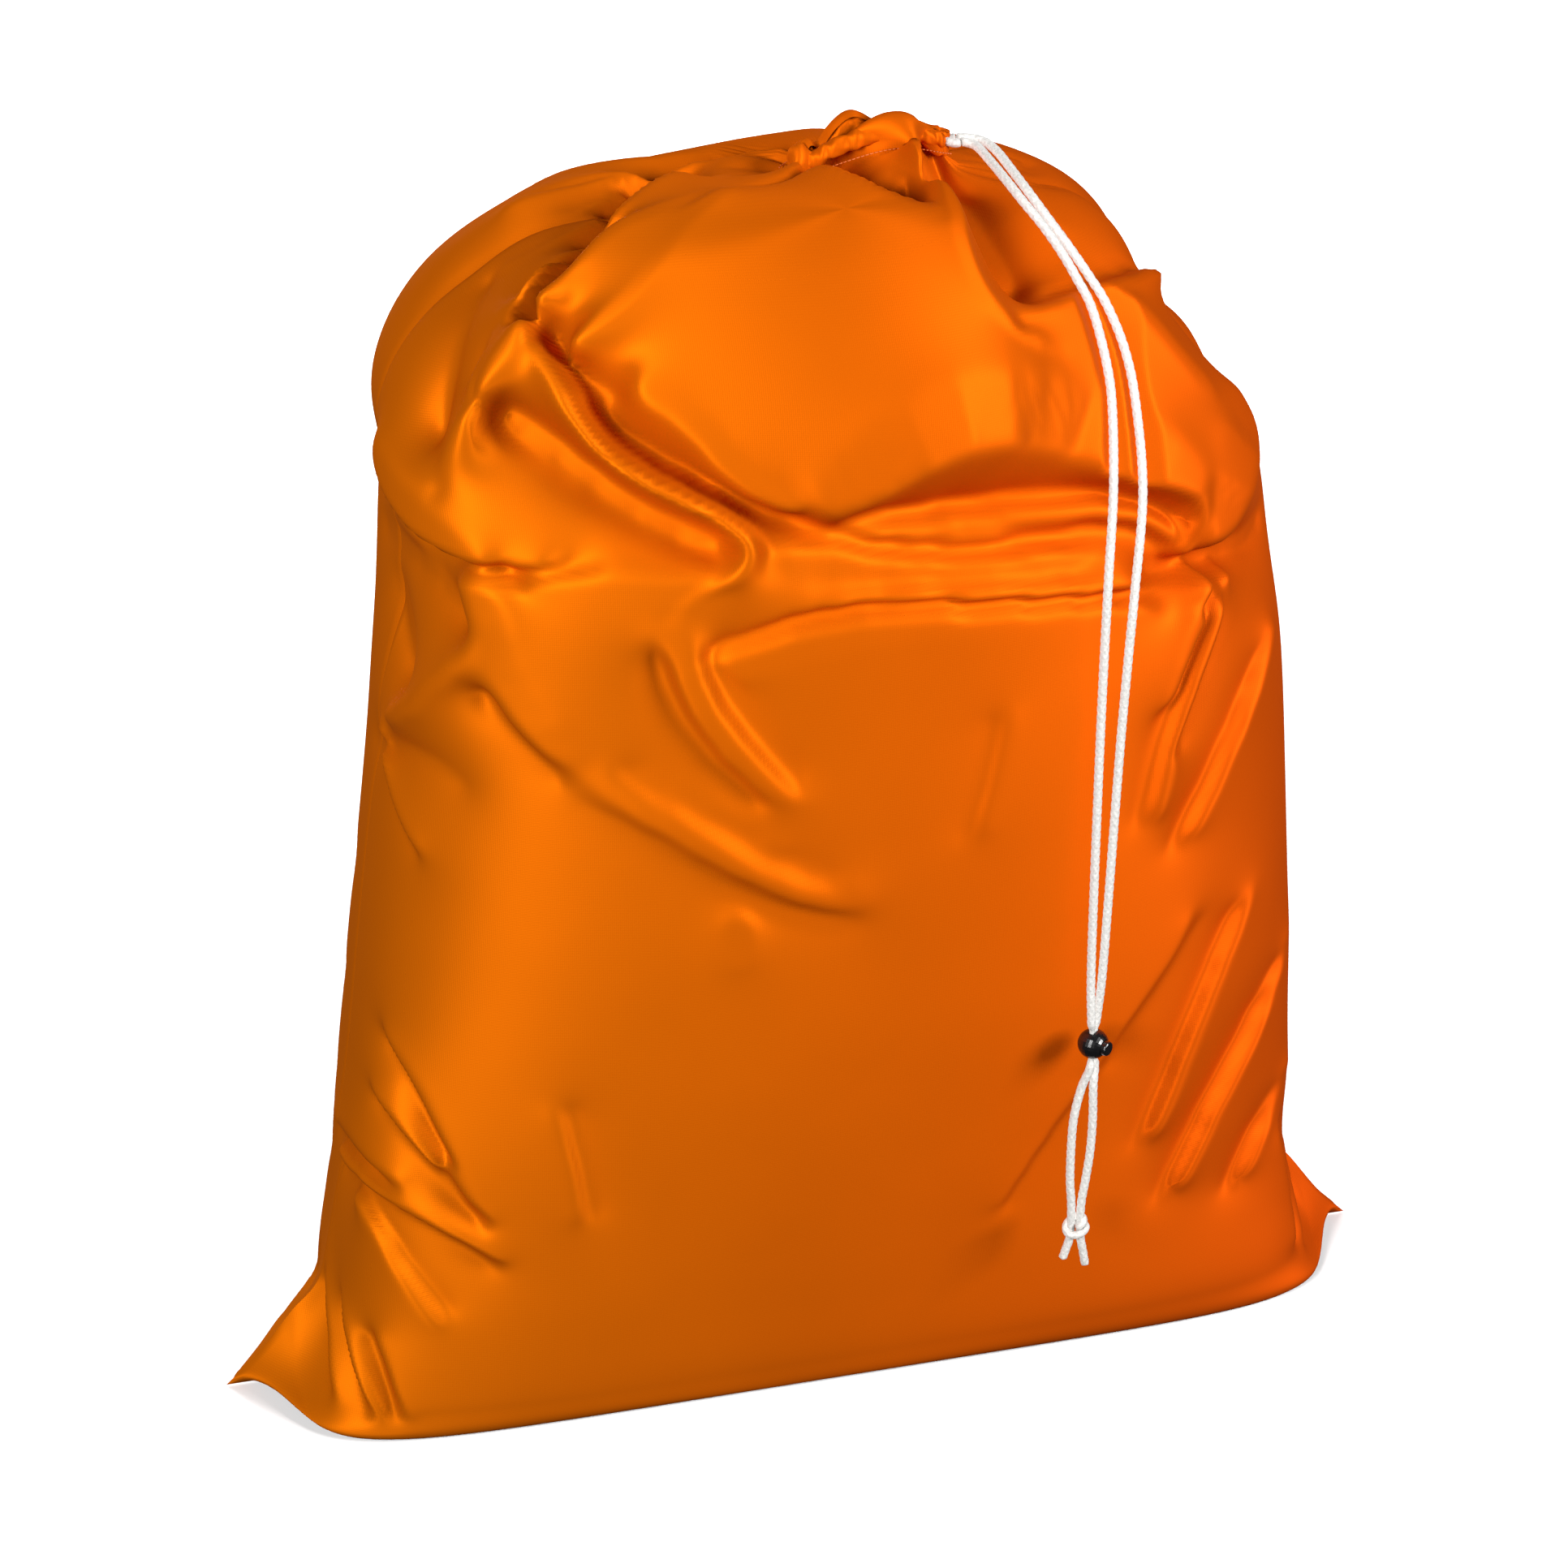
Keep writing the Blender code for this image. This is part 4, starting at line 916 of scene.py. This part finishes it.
def make_stitches(name, low, high, thread):
    """A row of lock stitches just under the hem."""
    radius, points, faces = mm(0.35), [], []
    for start in np.arange(low, high, 3.4):
        turn = [math.radians(start + 2.4 * t) for t in (0, 0.2, 0.5, 0.8, 1)]
        bow = (0, 0.6, 0.9, 0.6, 0)
        path = np.array([stitch_point(a, mm(10.9 + 0.4 * b)) for a, b in zip(turn, bow)])
        side, up = frames_along(path)
        faces += tube_faces(len(path), 6, len(points), flip=True)
        for p, s, u in zip(path, side, up):
            points += [p + radius * (math.cos(t) * s + math.sin(t) * u) for t in np.linspace(0, math.tau, 7)[:-1]]
    return add_mesh(name, np.array(points), faces, thread)


def make_mouth(cloth_finish, thread):
    """Both halves of the hem with their stitching."""
    for name, side in (("front", -1), ("back", 1)):
        hem = make_hem(f"{name}_hem_gathers", *sorted((side * 20.0, side * 179.3)), cloth_finish)
        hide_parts(f"{name}_hem")
        stitches = make_stitches(f"{name}_hem_lock_stitches", *sorted((side * 24.0, side * 177.0)), thread)
        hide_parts(f"{name}_hem_stitching")


# ---- Floor and light ----
def make_floor():
    finish, *_ = new_material("pale_floor", (0.80, 0.80, 0.80), 0.9)
    bpy.ops.mesh.primitive_plane_add(size=14, location=(0, 0, -0.0005))
    floor = bpy.context.object
    floor.name = "floor"
    floor.visible_glossy = False
    floor.visible_diffuse = False
    floor.data.materials.append(finish)


def add_light(name, place, target, size, power):
    light = bpy.data.lights.new(name, "AREA")
    light.shape = "RECTANGLE"
    light.size, light.size_y = size
    light.energy = power
    obj = bpy.data.objects.new(name, light)
    obj.location = place
    obj.rotation_mode = "QUATERNION"
    obj.rotation_quaternion = (Vector(target) - Vector(place)).to_track_quat("-Z", "Y")
    bpy.context.scene.collection.objects.link(obj)
    return obj


def make_studio():
    make_floor()
    add_light("left_softbox", (-2.15, -2.25, 1.75), (-0.05, 0, 0.38), (1.1, 1.3), 188)
    add_light("right_softbox", (2.25, -2.10, 1.85), (0.05, 0, 0.36), (1.1, 1.3), 178)
    for light in (add_light("floor_softbox", (0.3, 3.4, 2.6), (0, 2.2, 0), (2.6, 1.2), 120),
                  add_light("rear_softbox", (-0.6, 3.4, 1.0), (0, 0, 0.35), (1.6, 1.0), 170)):
        light.visible_glossy = False
    world = bpy.data.worlds.new("studio")
    world.use_nodes = True
    sky = world.node_tree.nodes["Background"]
    sky.inputs["Color"].default_value = (1, 1, 1, 1)
    sky.inputs["Strength"].default_value = 0.04
    bpy.context.scene.world = world
    bpy.context.scene.view_settings.view_transform = "Standard"


# ---- Making ----
def main():
    make_camera()
    cord, plastic, steel = white_braid(), black_plastic(), spring_steel()
    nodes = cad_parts
    for name, finish in (("cord_lock_body", plastic), ("cord_lock_button", plastic), ("cord_lock_spring", steel)):
        nodes[name].data.materials.clear()
        nodes[name].data.materials.append(finish)
    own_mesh(nodes["cord_lock_spring"])
    paths = make_cords(cord)
    make_cord_in_hem(cord)

    satin, seam_cloth, thread = nylon("orange_nylon"), nylon("seam_nylon", 0.75), sewing_thread()
    nodes["bottom_seam"].data.materials.clear()
    nodes["bottom_seam"].data.materials.append(seam_cloth)
    cloth = Cloth()
    front_folds(cloth)
    side_folds(cloth)
    back_folds(cloth)
    mouth_pleats(cloth)
    cloth.stretch()
    for path in paths:
        cloth.press(path[::4], CORD_DIAMETER / 2)
    front, back = make_panels(cloth, satin)
    for panel, name in ((front, "front_panel"), (back, "back_panel")):
        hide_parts(name)
    make_side_seams(cloth, seam_cloth)
    make_mouth(satin, thread)
    make_studio()


main()
